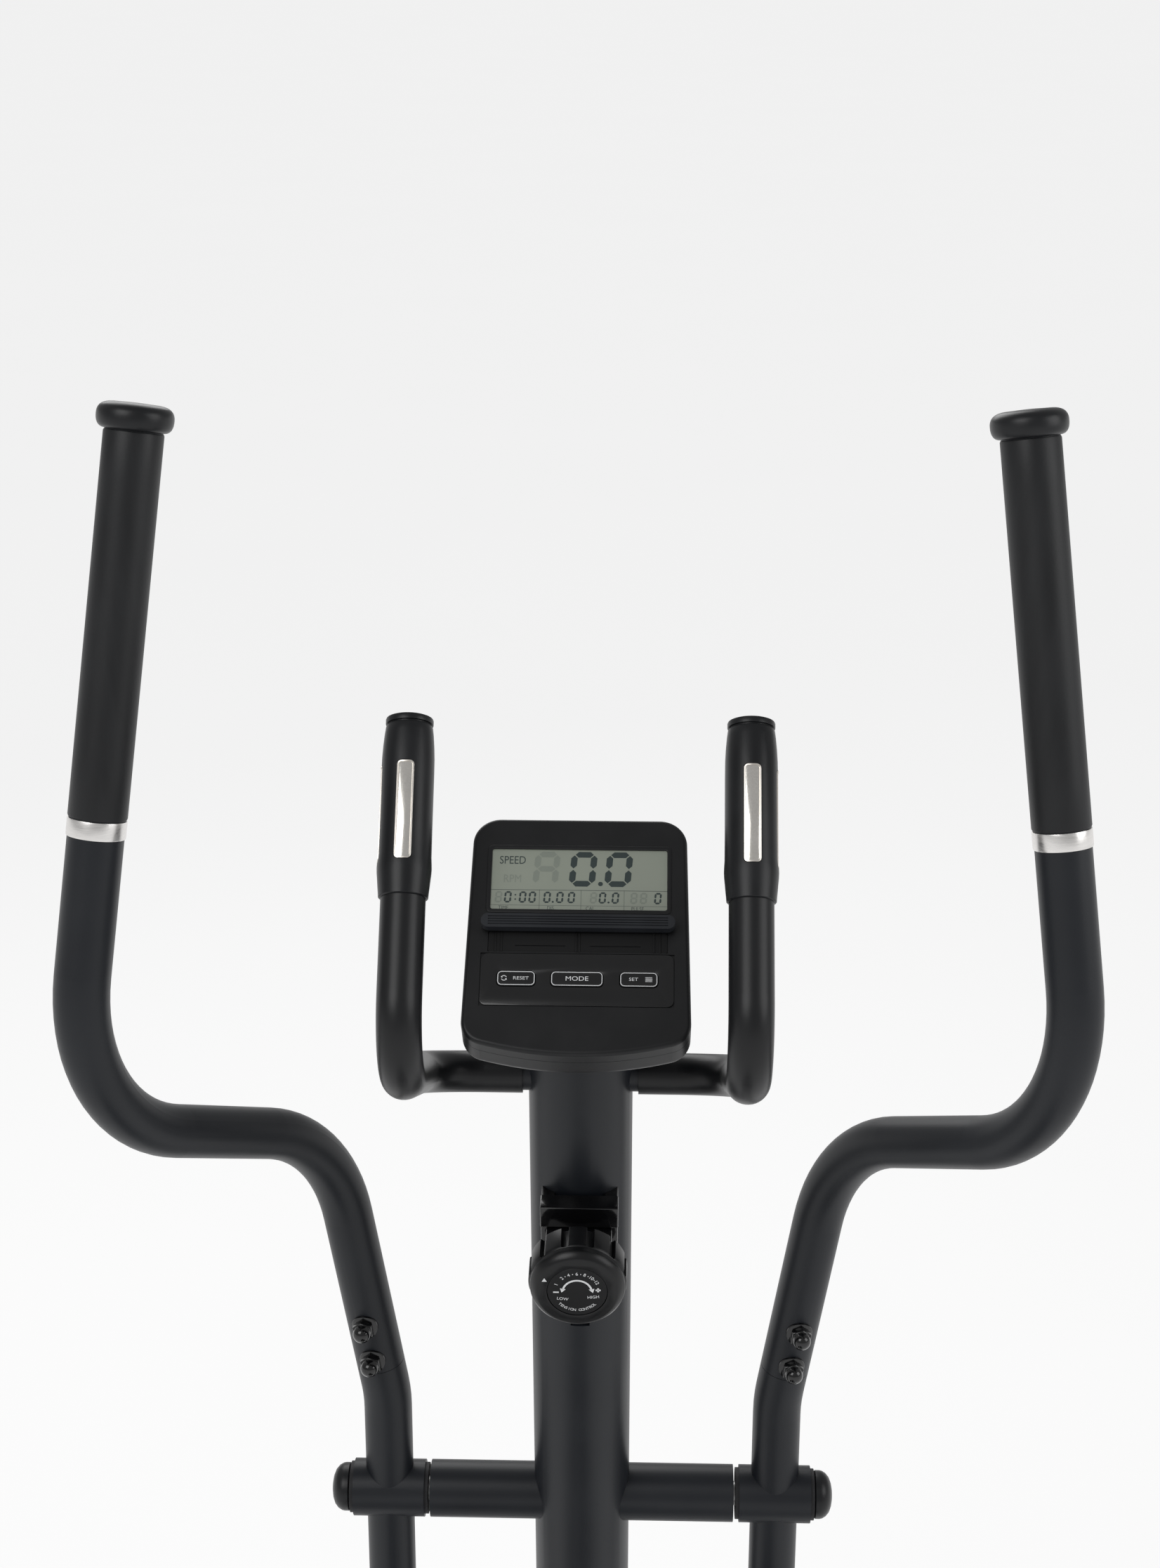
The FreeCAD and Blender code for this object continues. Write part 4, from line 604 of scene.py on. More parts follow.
@dataclass
class SwingArm:
    """Grip, end cap, ring and joint nuts of one swing arm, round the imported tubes."""

    side: Side
    top: tuple = (0.2424, 0.2805, 1.5464)
    outer: tuple = (0.2861, 0.1980, 1.1651)
    inner: tuple = (0.1610, 0.3679, 1.0732)
    kink: tuple = (0.1300, 0.378447, 0.8750)
    joint_rise: float = 26.6 * MM
    nut_rises: tuple = (10.5 * MM, 37.5 * MM)
    tube_radius: float = 15.9 * MM
    grip_radius: float = 16.6 * MM
    grip_length: float = 214.0 * MM
    ring_length: float = 10.5 * MM
    cap_radius: float = 21.2 * MM
    cap_height: float = 15.0 * MM

    def _point(self, place: Point) -> Vector:
        """Place on this side of the machine."""
        return Vector((self.side.value * place[0], place[1], place[2]))

    def build(self, palette: Palette) -> list:
        """Make every piece of this arm.

        Args:
            palette: the finishes.

        Returns:
            The pieces.
        """
        up = (self._point(self.top) - self._point(self.outer)).normalized()
        seat = frame_of(self._point(self.top), up)
        pieces = [self._grip(seat, palette), self._cap(seat, palette), self._ring(seat, palette)]
        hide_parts(self.side.word + "_grip")
        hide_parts(self.side.word + "_grip")
        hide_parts(self.side.word + "_grip_ring")
        fasteners = self._fasteners(palette)
        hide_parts(self.side.word + "_arm_bolts")
        pieces.append(fasteners)
        for piece, slot in zip(pieces, ("bar_coating", "bar_coating", "ring_metal", "black_fasteners")):
            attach(piece, self.side.word + "_arm")
        return pieces

    def _grip(self, seat: Matrix, palette: Palette) -> bpy.types.Object:
        """Sleeve with softened ends."""
        radius, low = self.grip_radius, -self.grip_length
        profile = [(radius - 0.9 * MM, low), (radius - 0.3 * MM, low + 0.4 * MM), (radius, low + 1.2 * MM)]
        profile += [(radius, low + self.grip_length * step / 8) for step in range(1, 8)]
        profile += [(radius, -1.4 * MM), (radius - 0.3 * MM, -0.5 * MM), (radius - 1.2 * MM, 0.0)]
        sleeve = Bench.turned(self.side.word + "_grip_sleeve", profile)
        palette.paint(sleeve, "soft_grip")
        return Bench.smooth(Bench.placed(sleeve, seat))

    def _cap(self, seat: Matrix, palette: Palette) -> bpy.types.Object:
        """Rounded button on the end of the tube, with a soft edge above its flat top."""
        steps, wide, tall = 22, self.cap_radius, self.cap_height
        profile = [(self.grip_radius - 2.4 * MM, -0.3 * MM)]
        for step in range(1, steps):
            turn = math.pi * step / steps
            out = math.sin(turn) ** 0.62
            rise = 0.5 - 0.5 * math.copysign(abs(math.cos(turn)) ** 0.86, math.cos(turn))
            profile.append((wide * (0.42 + 0.58 * out) if step > steps / 2 else
                            self.grip_radius - 2.4 * MM + (wide - self.grip_radius + 2.4 * MM) * out,
                            tall * rise))
        profile += [(wide * 0.36, tall * 1.004), (wide * 0.2, tall * 1.012), (wide * 0.04, tall * 1.016)]
        cap = Bench.turned(self.side.word + "_grip_button", profile)
        palette.paint(cap, "grip_shell")
        return Bench.smooth(Bench.placed(cap, seat), 60.0)

    def _ring(self, seat: Matrix, palette: Palette) -> bpy.types.Object:
        """Bright ring between grip and tube."""
        high = -self.grip_length - 0.2 * MM
        low = high - self.ring_length
        radius = self.tube_radius + 0.75 * MM
        ring = Bench.turned(self.side.word + "_bright_ring", [
            (radius - 0.7 * MM, low), (radius - 0.15 * MM, low + 0.25 * MM), (radius, low + 0.9 * MM),
            (radius, high - 0.9 * MM), (radius - 0.15 * MM, high - 0.25 * MM), (radius - 0.7 * MM, high)])
        palette.paint(ring, "bright_ring")
        return Bench.smooth(Bench.placed(ring, seat))

    def _fasteners(self, palette: Palette) -> bpy.types.Object:
        """Two dome nuts on curved washers towards the rider, and the two bolt heads behind."""
        kink, inner = self._point(self.kink), self._point(self.inner)
        up = (inner - kink).normalized()
        foot = kink + up * self.joint_rise
        lean = math.radians(8.0)
        forward = Vector((self.side.value * math.sin(lean), -math.cos(lean), 0.0))
        forward = (forward - up * forward.dot(up)).normalized()
        pieces = []
        for rise in self.nut_rises:
            hole = foot + up * rise
            spot = frame_of(hole, forward, forward.cross(up))
            pieces += [Bench.placed(self._washer(), spot), Bench.placed(self._dome_nut(), spot)]
            pieces.append(Bench.placed(self._bolt_head(), frame_of(hole, -forward, up)))
        joined = Bench.joined(self.side.word + "_joint_nuts", pieces)
        palette.paint(joined, "polished_black")
        return Bench.smooth(joined, 32.0)

    def _washer(self) -> bpy.types.Object:
        """Washer bent to the tube: a slice of a wider tube."""
        slug = Bench.turned("washer", [(8.6 * MM, 10.0 * MM), (8.6 * MM, 24.0 * MM)], 48)
        hull = Bench.turned("washer_hull", [(self.tube_radius + 1.7 * MM, -12.0 * MM),
                                            (self.tube_radius + 1.7 * MM, 12.0 * MM)], 96)
        Bench.placed(hull, Matrix.Rotation(math.pi / 2, 4, "X"))
        Bench.modified(slug, "BOOLEAN", object=hull, operation="INTERSECT", solver="EXACT")
        bpy.data.objects.remove(hull)
        return Bench.rounded(slug, 0.35 * MM, 2)

    def _dome_nut(self) -> bpy.types.Object:
        """Hexagon with a chamfered top, and its polished dome."""
        base = self.tube_radius + 1.6 * MM
        hexagon = Bench.turned("nut", [(7.3 * MM, base), (7.3 * MM, base + 4.6 * MM),
                                       (6.3 * MM, base + 5.4 * MM)], 6)
        Bench.rounded(hexagon, 0.4 * MM, 3)
        dome = [(5.9 * MM, base + 5.0 * MM), (5.8 * MM, base + 6.6 * MM)]
        dome += [(5.8 * MM * math.cos(turn), base + 6.6 * MM + 5.2 * MM * math.sin(turn))
                 for turn in (math.radians(9.0 * step) for step in range(1, 10))]
        return Bench.joined("nut", [Bench.turned("dome", dome, 48), hexagon])

    def _bolt_head(self) -> bpy.types.Object:
        """Low round head with a hexagon socket."""
        base = self.tube_radius + 1.4 * MM
        head = Bench.turned("head", [(7.0 * MM, base - 1.2 * MM), (7.0 * MM, base + 2.0 * MM),
                                     (6.2 * MM, base + 3.9 * MM), (4.6 * MM, base + 4.9 * MM)], 48)
        socket = Bench.turned("socket", [(2.9 * MM, base + 2.2 * MM), (2.9 * MM, base + 7.0 * MM)], 6)
        return Bench.rounded(Bench.cut(head, socket), 0.3 * MM, 2)


# ---- pulse grips ------------------------------------------------------------------------------------


@dataclass
class PulseGrip:
    """Two-part sleeve with steel contact plates on one upright end of the fixed bar."""

    side: Side
    low: tuple = (0.0966, 0.1659, 1.2142)
    tip: tuple = (0.0970, 0.2907, 1.3747)
    length: float = 101.0 * MM
    plate_width: float = 9.6 * MM
    plate_length: float = 57.0 * MM
    plate_drop: float = 53.0 * MM
    shell: tuple = ((13.4, 0.0), (14.0, 0.5), (14.2, 3.0), (14.5, 6.0), (14.9, 10.5), (15.25, 14.0),
                    (15.4, 17.0), (15.3, 20.0), (15.05, 24.0), (14.95, 40.0), (14.95, 72.0), (14.85, 82.0),
                    (14.5, 89.0), (13.9, 96.0), (13.4, 100.0), (12.9, 101.0))
    plug: tuple = ((12.4, 101.0), (12.4, 101.8), (13.5, 102.0), (13.6, 102.6), (13.6, 104.6),
                   (13.3, 105.3), (12.4, 105.7), (6.0, 106.0), (0.6, 106.1))

    def build(self, palette: Palette) -> list:
        """Make the sleeve, end plug and plates.

        Args:
            palette: the finishes.

        Returns:
            The pieces: sleeve with its plug, then plates.
        """
        low, tip = (Vector((self.side.value * p[0], p[1], p[2])) for p in (self.low, self.tip))
        up = (tip - low).normalized()
        foot = tip - up * self.length
        front = (up * up.y - Vector((0, 1, 0))).normalized()
        seat = frame_of(foot, up, front.cross(up))
        middle = self.length - self.plate_drop
        faces = [0.0, math.radians(90.0 * self.side.value)]
        sleeve = Bench.turned("sleeve", [(r * MM, h * MM) for r, h in self.shell], 128)
        cutters = [self._strip(middle, turn, 0.5 * MM, 13.9 * MM, 20.0 * MM) for turn in faces]
        seam = Bench.block("seam", (0.35 * MM, 4.0 * MM, 0.13), (-self.side.value * 14.6 * MM, 0, 0.05))
        Bench.cut(sleeve, *cutters, Bench.placed(seam, Matrix.Rotation(math.radians(25 * self.side.value), 4,
                                                                       "Z")))
        plug = Bench.turned("plug", [(r * MM, h * MM) for r, h in self.plug], 96)
        body = Bench.joined(self.side.word + "_pulse_sleeve", [plug, sleeve])
        palette.paint(body, "grip_shell")
        Bench.smooth(Bench.placed(body, seat), 40.0)
        steel = self._plates("_contact_plates", faces, middle, -0.75 * MM, 15.05 * MM, 0.2 * MM)
        palette.paint(steel, "contact_plate")
        rims = self._plates("_plate_rims", faces, middle, 0.0, 15.4 * MM, 0.35 * MM, -0.8 * MM)
        palette.paint(rims, "plate_rim")
        for piece in (steel, rims):
            Bench.smooth(Bench.placed(piece, seat), 50.0)
        for piece, slot in ((body, "pulse_plastic"), (steel, "stainless"), (rims, "stainless")):
            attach(piece, "frame")
        return [body, steel, rims]

    def _plates(self, name: str, faces: Sequence[float], middle: float, margin: float, reach: float,
                edge: float, hollow: float = 0.0) -> bpy.types.Object:
        """Strips on both faces, curved like the sleeve.

        Args:
            name: end of the piece's name.
            faces: turns of the two faces about the grip.
            middle: height of the strips' middle.
            margin: how much larger than the plate they are.
            reach: radius of their outer face.
            edge: rounding of their edges.
            hollow: how much smaller than the plate the opening is, or 0 for no opening.

        Returns:
            The strips as one piece.
        """
        strips = []
        for turn in faces:
            strip = self._strip(middle, turn, margin, 13.6 * MM, 20.0 * MM)
            hull = Bench.turned("hull", [(reach, 0.0), (reach, self.length)], 160)
            Bench.modified(strip, "BOOLEAN", object=hull, operation="INTERSECT", solver="EXACT")
            bpy.data.objects.remove(hull)
            if hollow:
                Bench.cut(strip, self._strip(middle, turn, hollow, 12.0 * MM, 22.0 * MM))
            strips.append(Bench.rounded(strip, edge, 3, 60.0))
        return Bench.joined(self.side.word + name, strips)

    def _strip(self, middle: float, turn: float, margin: float, near: float, far: float) -> bpy.types.Object:
        """Upright rounded strip that reaches out through the sleeve's wall.

        Args:
            middle: height of its middle.
            turn: turn about the grip's axis from the front.
            margin: how much larger than the plate it is on every side.
            near: distance from the axis where it starts.
            far: distance where it ends.

        Returns:
            The strip.
        """
        outline = rounded_box(self.plate_width + 2 * margin, self.plate_length + 2 * margin,
                              2.4 * MM + margin)
        strip = Bench.plate("strip", outline, near, far)
        stand = frame_of((0, 0, middle), (0, 1, 0), (-1, 0, 0))
        return Bench.placed(strip, Matrix.Rotation(turn, 4, "Z") @ stand)


@dataclass
class EndCovers:
    """Round plastic covers on the ends of the swing axle."""

    level: tuple = (0.0, 0.378447, 0.8)
    edge: float = 157.0 * MM
    profile: tuple = ((15.4, 0.0), (16.0, 0.6), (16.0, 3.4), (15.6, 5.2), (14.2, 7.6), (11.6, 9.8),
                      (8.0, 11.2), (4.0, 11.9), (0.5, 12.0))

    def build(self, palette: Palette) -> bpy.types.Object:
        """Make both covers as one piece."""
        covers = []
        for side in Side:
            seat = frame_of(Vector(self.level) + Vector((side.value * self.edge, 0, 0)), (side.value, 0, 0),
                            (0, 1, 0))
            cover = Bench.turned("cover", [(r * MM, h * MM) for r, h in self.profile])
            covers.append(Bench.placed(cover, seat))
        piece = Bench.joined("axle_covers", covers)
        palette.paint(piece, "grip_shell")
        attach(piece, "frame")
        return Bench.smooth(piece)


# ---- console ----------------------------------------------------------------------------------------


@dataclass
class Console:
    """Window frame, display marks, key panel and keys on the console's face."""

    centre: tuple = (0.0, 0.251, 1.2662)
    tilt: float = math.radians(39.7)
    window: tuple = (102.0, 40.0)
    window_up: float = 34.0
    glass: float = -0.6
    panel: tuple = (109.0, 32.4)
    panel_up: float = -29.9
    well: tuple = (101.4, 12.6)
    well_up: float = -6.1
    keys_up: float = -29.5
    key_height: float = 9.2
    keys: dict = field(default_factory=lambda: {"reset": (-34.2, 21.6), "mode": (0.0, 29.4),
                                                "set": (34.8, 21.4)})
    big_digits: tuple = (2.1, 22.6)
    small_digits: tuple = (-40.7, -32.2, -26.7, -18.2, -10.9, -4.3, 13.5, 20.9, 45.2)
    small_points: tuple = (-14.9, 17.0)
    icon_ring: tuple = (1.25, 1.65)
    icon_sweep: tuple = (0.35, 2.5)
    icon_lead: float = 0.55
    icon_barb: tuple = (0.75, 2.15)
    print_depth: float = 0.05
    dividers: tuple = (-22.6, 1.2, 25.9)
    labels: tuple = ((-43.1, "TIME"), (-16.2, "DIS"), (6.5, "CAL"), (33.6, "PULSE"))

    @property
    def seat(self) -> Matrix:
        """Matrix of the face: X across, Y up it and Z out of it."""
        return frame_of(self.centre, (0, -math.sin(self.tilt), math.cos(self.tilt)))

    def build(self, palette: Palette) -> list:
        """Make every piece of the face.

        Args:
            palette: the finishes.

        Returns:
            The pieces.
        """
        pieces = [self._window_frame(palette), self._panel(palette)]
        pieces += self._display(palette)
        pieces.append(self._well(palette))
        for piece in pieces:
            Bench.placed(piece, self.seat)
            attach(piece, "frame")
        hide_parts("key_panel")
        for name, (across, width) in self.keys.items():
            pieces += self._key(name, across, width, palette)
        return pieces

    def _window_frame(self, palette: Palette) -> bpy.types.Object:
        """Raised rim round the window, sloped down to the glass."""
        width, height = self.window
        outline = rounded_box((width + 4.2) * MM, (height + 4.2) * MM, 3.2 * MM, (0, self.window_up * MM))
        rim = Bench.plate("window_frame", outline, -0.5 * MM, 0.55 * MM)
        hole = Bench.plate("hole", rounded_box((width - 1.0) * MM, (height - 1.0) * MM, 1.4 * MM,
                                               (0, self.window_up * MM)), -3.0 * MM, 3.0 * MM)
        Bench.rounded(Bench.cut(rim, hole), 0.45 * MM, 3)
        palette.paint(rim, "console_shell")
        return Bench.smooth(rim, 40.0)

    def _panel(self, palette: Palette) -> bpy.types.Object:
        """Glossy panel with rounded corners and an opening for each key."""
        width, height = self.panel
        outline = rounded_box(width * MM, height * MM, 4.0 * MM, (0, self.panel_up * MM))
        panel = Bench.plate("key_plate", outline, -0.9 * MM, 0.2 * MM)
        holes = [Bench.plate("hole", rounded_box((wide + 0.6) * MM, (self.key_height + 0.6) * MM, 2.9 * MM,
                                                 (across * MM, self.keys_up * MM)), -3.0 * MM, 3.0 * MM)
                 for across, wide in self.keys.values()]
        Bench.rounded(Bench.cut(panel, *holes), 0.18 * MM, 2)
        palette.paint(panel, "key_gloss")
        return Bench.smooth(panel, 40.0)

    def _well(self, palette: Palette) -> bpy.types.Object:
        """Lining of the recess under the ledge, with its slots and ribs, in a darker black that is painted
        shade.
        """
        width, height = self.well
        middle = self.well_up * MM
        floor = Bench.plate("floor", rounded_box(width * MM, height * MM, 1.2 * MM, (0, middle)), -1.15 * MM,
                            -0.6 * MM)
        slots = [Bench.block("slot", (width * 0.28 * MM, 0.7 * MM, 3.0 * MM),
                             (sign * width * 0.21 * MM, middle - 2.4 * MM, -0.6 * MM)) for sign in (-1, 1)]
        ribs = [Bench.block("rib", (1.0 * MM, height * MM, 0.75 * MM), (across * MM, middle, -0.45 * MM),
                            0.2 * MM) for across in (-46.6, -43.2, -0.9, 0.9, 43.2, 46.6)]
        lining = Bench.joined("ledge_well", ribs + [Bench.cut(floor, *slots)])
        # Painted shade: the recess lining is darker than the console shell.
        palette.paint(lining, "painted_shade_well")
        return Bench.smooth(lining)

    def _key(self, name: str, across: float, width: float, palette: Palette) -> list:
        """Key with its outline and legend, which ride on its own body."""
        up, top = self.keys_up, 0.75
        outline = rounded_box(width * MM, self.key_height * MM, 2.6 * MM, (across * MM, up * MM))
        key = Bench.rounded(Bench.plate(name + "_keytop", outline, -2.0 * MM, top * MM), 0.3 * MM, 3)
        palette.paint(key, "key_gloss")
        Bench.smooth(key, 40.0)
        marks = [self._loop(across, up, width - 0.7, self.key_height - 0.7, top)]
        shift = {"reset": 2.7, "mode": 0.0, "set": -3.0}[name]
        size = 2.75 if name == "mode" else 2.0
        words = Bench.lettering("words", name.upper(), size * MM, ((across + shift) * MM, up * MM, top * MM),
                                0.05 * MM)
        words.scale = (1.18, 1.0, 1.0)
        words.location.x = (across + shift) * MM * (1.0 - 1.18)
        Bench.pick(words)
        bpy.ops.object.transform_apply(location=True, rotation=True, scale=True)
        marks.append(words)
        if name == "reset":
            marks += self._turn_icon(across - 6.8, up, top)
        if name == "set":
            marks += [Bench.block("line", (3.9 * MM, 0.36 * MM, 0.05 * MM),
                                  ((across + 5.6) * MM, (up + 1.2 - 0.8 * row) * MM, (top + 0.02) * MM))
                      for row in range(4)]
        print_ = Bench.joined(name + "_legend", marks)
        palette.paint(print_, "white_print")
        for piece in (key, print_):
            Bench.placed(piece, self.seat)
            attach(piece, name + "_button")
        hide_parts(name + "_key")
        return [key, print_]

    @staticmethod
    def _loop(across: float, up: float, width: float, height: float, level: float) -> bpy.types.Object:
        """Thin printed line round a key."""
        line = 0.42
        outer = rounded_box(width * MM, height * MM, 2.4 * MM, (across * MM, up * MM))
        inner = rounded_box((width - 2 * line) * MM, (height - 2 * line) * MM, (2.4 - line) * MM,
                            (across * MM, up * MM))
        loop = Bench.plate("loop", outer, level * MM, (level + 0.05) * MM)
        return Bench.cut(loop, Bench.plate("inner", inner, (level - 0.5) * MM, (level + 0.5) * MM))

    def _turn_icon(self, across: float, up: float, level: float) -> list:
        """Two bent arrows that chase each other round a circle."""
        marks = []
        inner, outer = self.icon_ring
        middle = (inner + outer) / 2
        for half in (0, 1):
            start, end = (half * math.pi + turn for turn in self.icon_sweep)
            tip_turn = end + self.icon_lead
            head = [(self.icon_barb[1] * math.cos(end), self.icon_barb[1] * math.sin(end)),
                    (middle * math.cos(tip_turn), middle * math.sin(tip_turn)),
                    (self.icon_barb[0] * math.cos(end), self.icon_barb[0] * math.sin(end))]
            for name, outline in (("arc", arc_band(inner, outer, start, end)), ("arrow", head)):
                marks.append(Bench.plate(name, [((across + x) * MM, (up + y) * MM) for x, y in outline],
                                         level * MM, (level + self.print_depth) * MM))
        return marks

    def _display(self, palette: Palette) -> list:
        """Dark segments, ghost segments and fine labels on the glass."""
        up = self.window_up
        dark, ghost = [], []
        for across in self.big_digits:
            dark += self._digit(across, up + 7.1, 11.4, 18.9, 3.7, "abcdef")
        dark.append(self._spot(12.2, up - 2.4, 1.4))
        for across in self.small_digits:
            dark += self._digit(across, up - 11.4, 3.0, 6.2, 1.1, "abcdef")
        for across in self.small_points:
            dark.append(self._spot(across, up - 14.3, 0.6))
        dark += [self._spot(-36.4, up - 11.4 + rise, 0.5) for rise in (-1.4, 1.4)]
        dark.append(self._word("SPEED", -38.6, up + 12.4, 5.1, 0.78))
        ghost += self._digit(-19.0, up + 7.1, 11.0, 18.9, 3.6, "abcefg")
        ghost.append(self._word("RPM", -38.4, up + 0.3, 5.1, 0.78))
        for across in (-46.0, 8.4, 31.5, 37.0):
            ghost += self._digit(across, up - 11.4, 3.0, 6.2, 1.0, "abcdefg")
        lines = [self._bar(0.0, up - 6.7, 101.0, 0.3), self._bar(0.0, up - 16.6, 101.0, 0.18)]
        lines += [self._bar(across, up - 13.0, 0.2, 13.2) for across in self.dividers]
        lines += [self._word(words, across, up - 18.4, 2.4, 0.8) for across, words in self.labels]
        pieces = []
        for name, marks, finish in (("lcd_digits", dark, "lcd_segment"), ("lcd_ghosts", ghost, "lcd_ghost"),
                                    ("lcd_lines", lines, "lcd_label")):
            piece = Bench.joined(name, marks)
            palette.paint(piece, finish)
            pieces.append(piece)
        return pieces

    def _flat(self, outline: Sequence[Point]) -> bpy.types.Object:
        """Flat mark on the glass from an outline in millimetres."""
        return Bench.plate("mark", [(x * MM, y * MM) for x, y in outline], self.glass * MM,
                           (self.glass + 0.04) * MM)

    def _spot(self, across: float, up: float, radius: float) -> bpy.types.Object:
        """Round decimal point."""
        return self._flat([(across + radius * math.cos(turn), up + radius * math.sin(turn))
                           for turn in (math.tau * step / 24 for step in range(24))])

    def _bar(self, across: float, up: float, width: float, height: float) -> bpy.types.Object:
        """Straight printed line."""
        return self._flat([(across - width / 2, up - height / 2), (across + width / 2, up - height / 2),
                           (across + width / 2, up + height / 2), (across - width / 2, up + height / 2)])

    def _word(self, words: str, across: float, up: float, height: float, narrow: float) -> bpy.types.Object:
        """Condensed word on the glass."""
        word = Bench.lettering("word", words, height * MM, (0, 0, 0), 0.04 * MM)
        word.scale = (narrow, 1.0, 1.0)
        word.location = (across * MM, up * MM, self.glass * MM)
        Bench.pick(word)
        bpy.ops.object.transform_apply(location=True, rotation=True, scale=True)
        return word

    def _digit(self, across: float, up: float, width: float, height: float, thick: float,
               lit: str) -> list:
        """Seven-segment digit.

        Args:
            across: its middle.
            up: its middle.
            width: distance between the middles of the upright segments.
            height: distance between the middles of the top and bottom segments.
            thick: thickness of a segment.
            lit: letters of the segments that show.

        Returns:
            Its segments.
        """
        side, half, quarter = width / 2, height / 2, height / 4
        spots = {"a": (0, half, 0), "g": (0, 0, 0), "d": (0, -half, 0), "b": (side, quarter, 1),
                 "c": (side, -quarter, 1), "f": (-side, quarter, 1), "e": (-side, -quarter, 1)}
        marks = []
        gap = thick * 0.12
        for letter in lit:
            x, y, upright = spots[letter]
            reach = (half if upright else width) / 2 - gap
            body = [(-reach, 0.0), (-reach + thick / 2, -thick / 2), (reach - thick / 2, -thick / 2),
                    (reach, 0.0), (reach - thick / 2, thick / 2), (-reach + thick / 2, thick / 2)]
            if upright:
                body = [(-v, u) for u, v in body]
            outline = [(across + x + u + 0.075 * (y + v), up + y + v) for u, v in body]
            marks.append(self._flat(outline))
        return marks


def arc_band(inner: float, outer: float, first: float, last: float, steps: int = 24) -> list:
    """Outline of a band along an arc, anticlockwise."""
    turns = [first + (last - first) * step / steps for step in range(steps + 1)]
    out = [(outer * math.cos(turn), outer * math.sin(turn)) for turn in turns]
    back = [(inner * math.cos(turn), inner * math.sin(turn)) for turn in reversed(turns)]
    return out + back


# ---- tension control --------------------------------------------------------------------------------


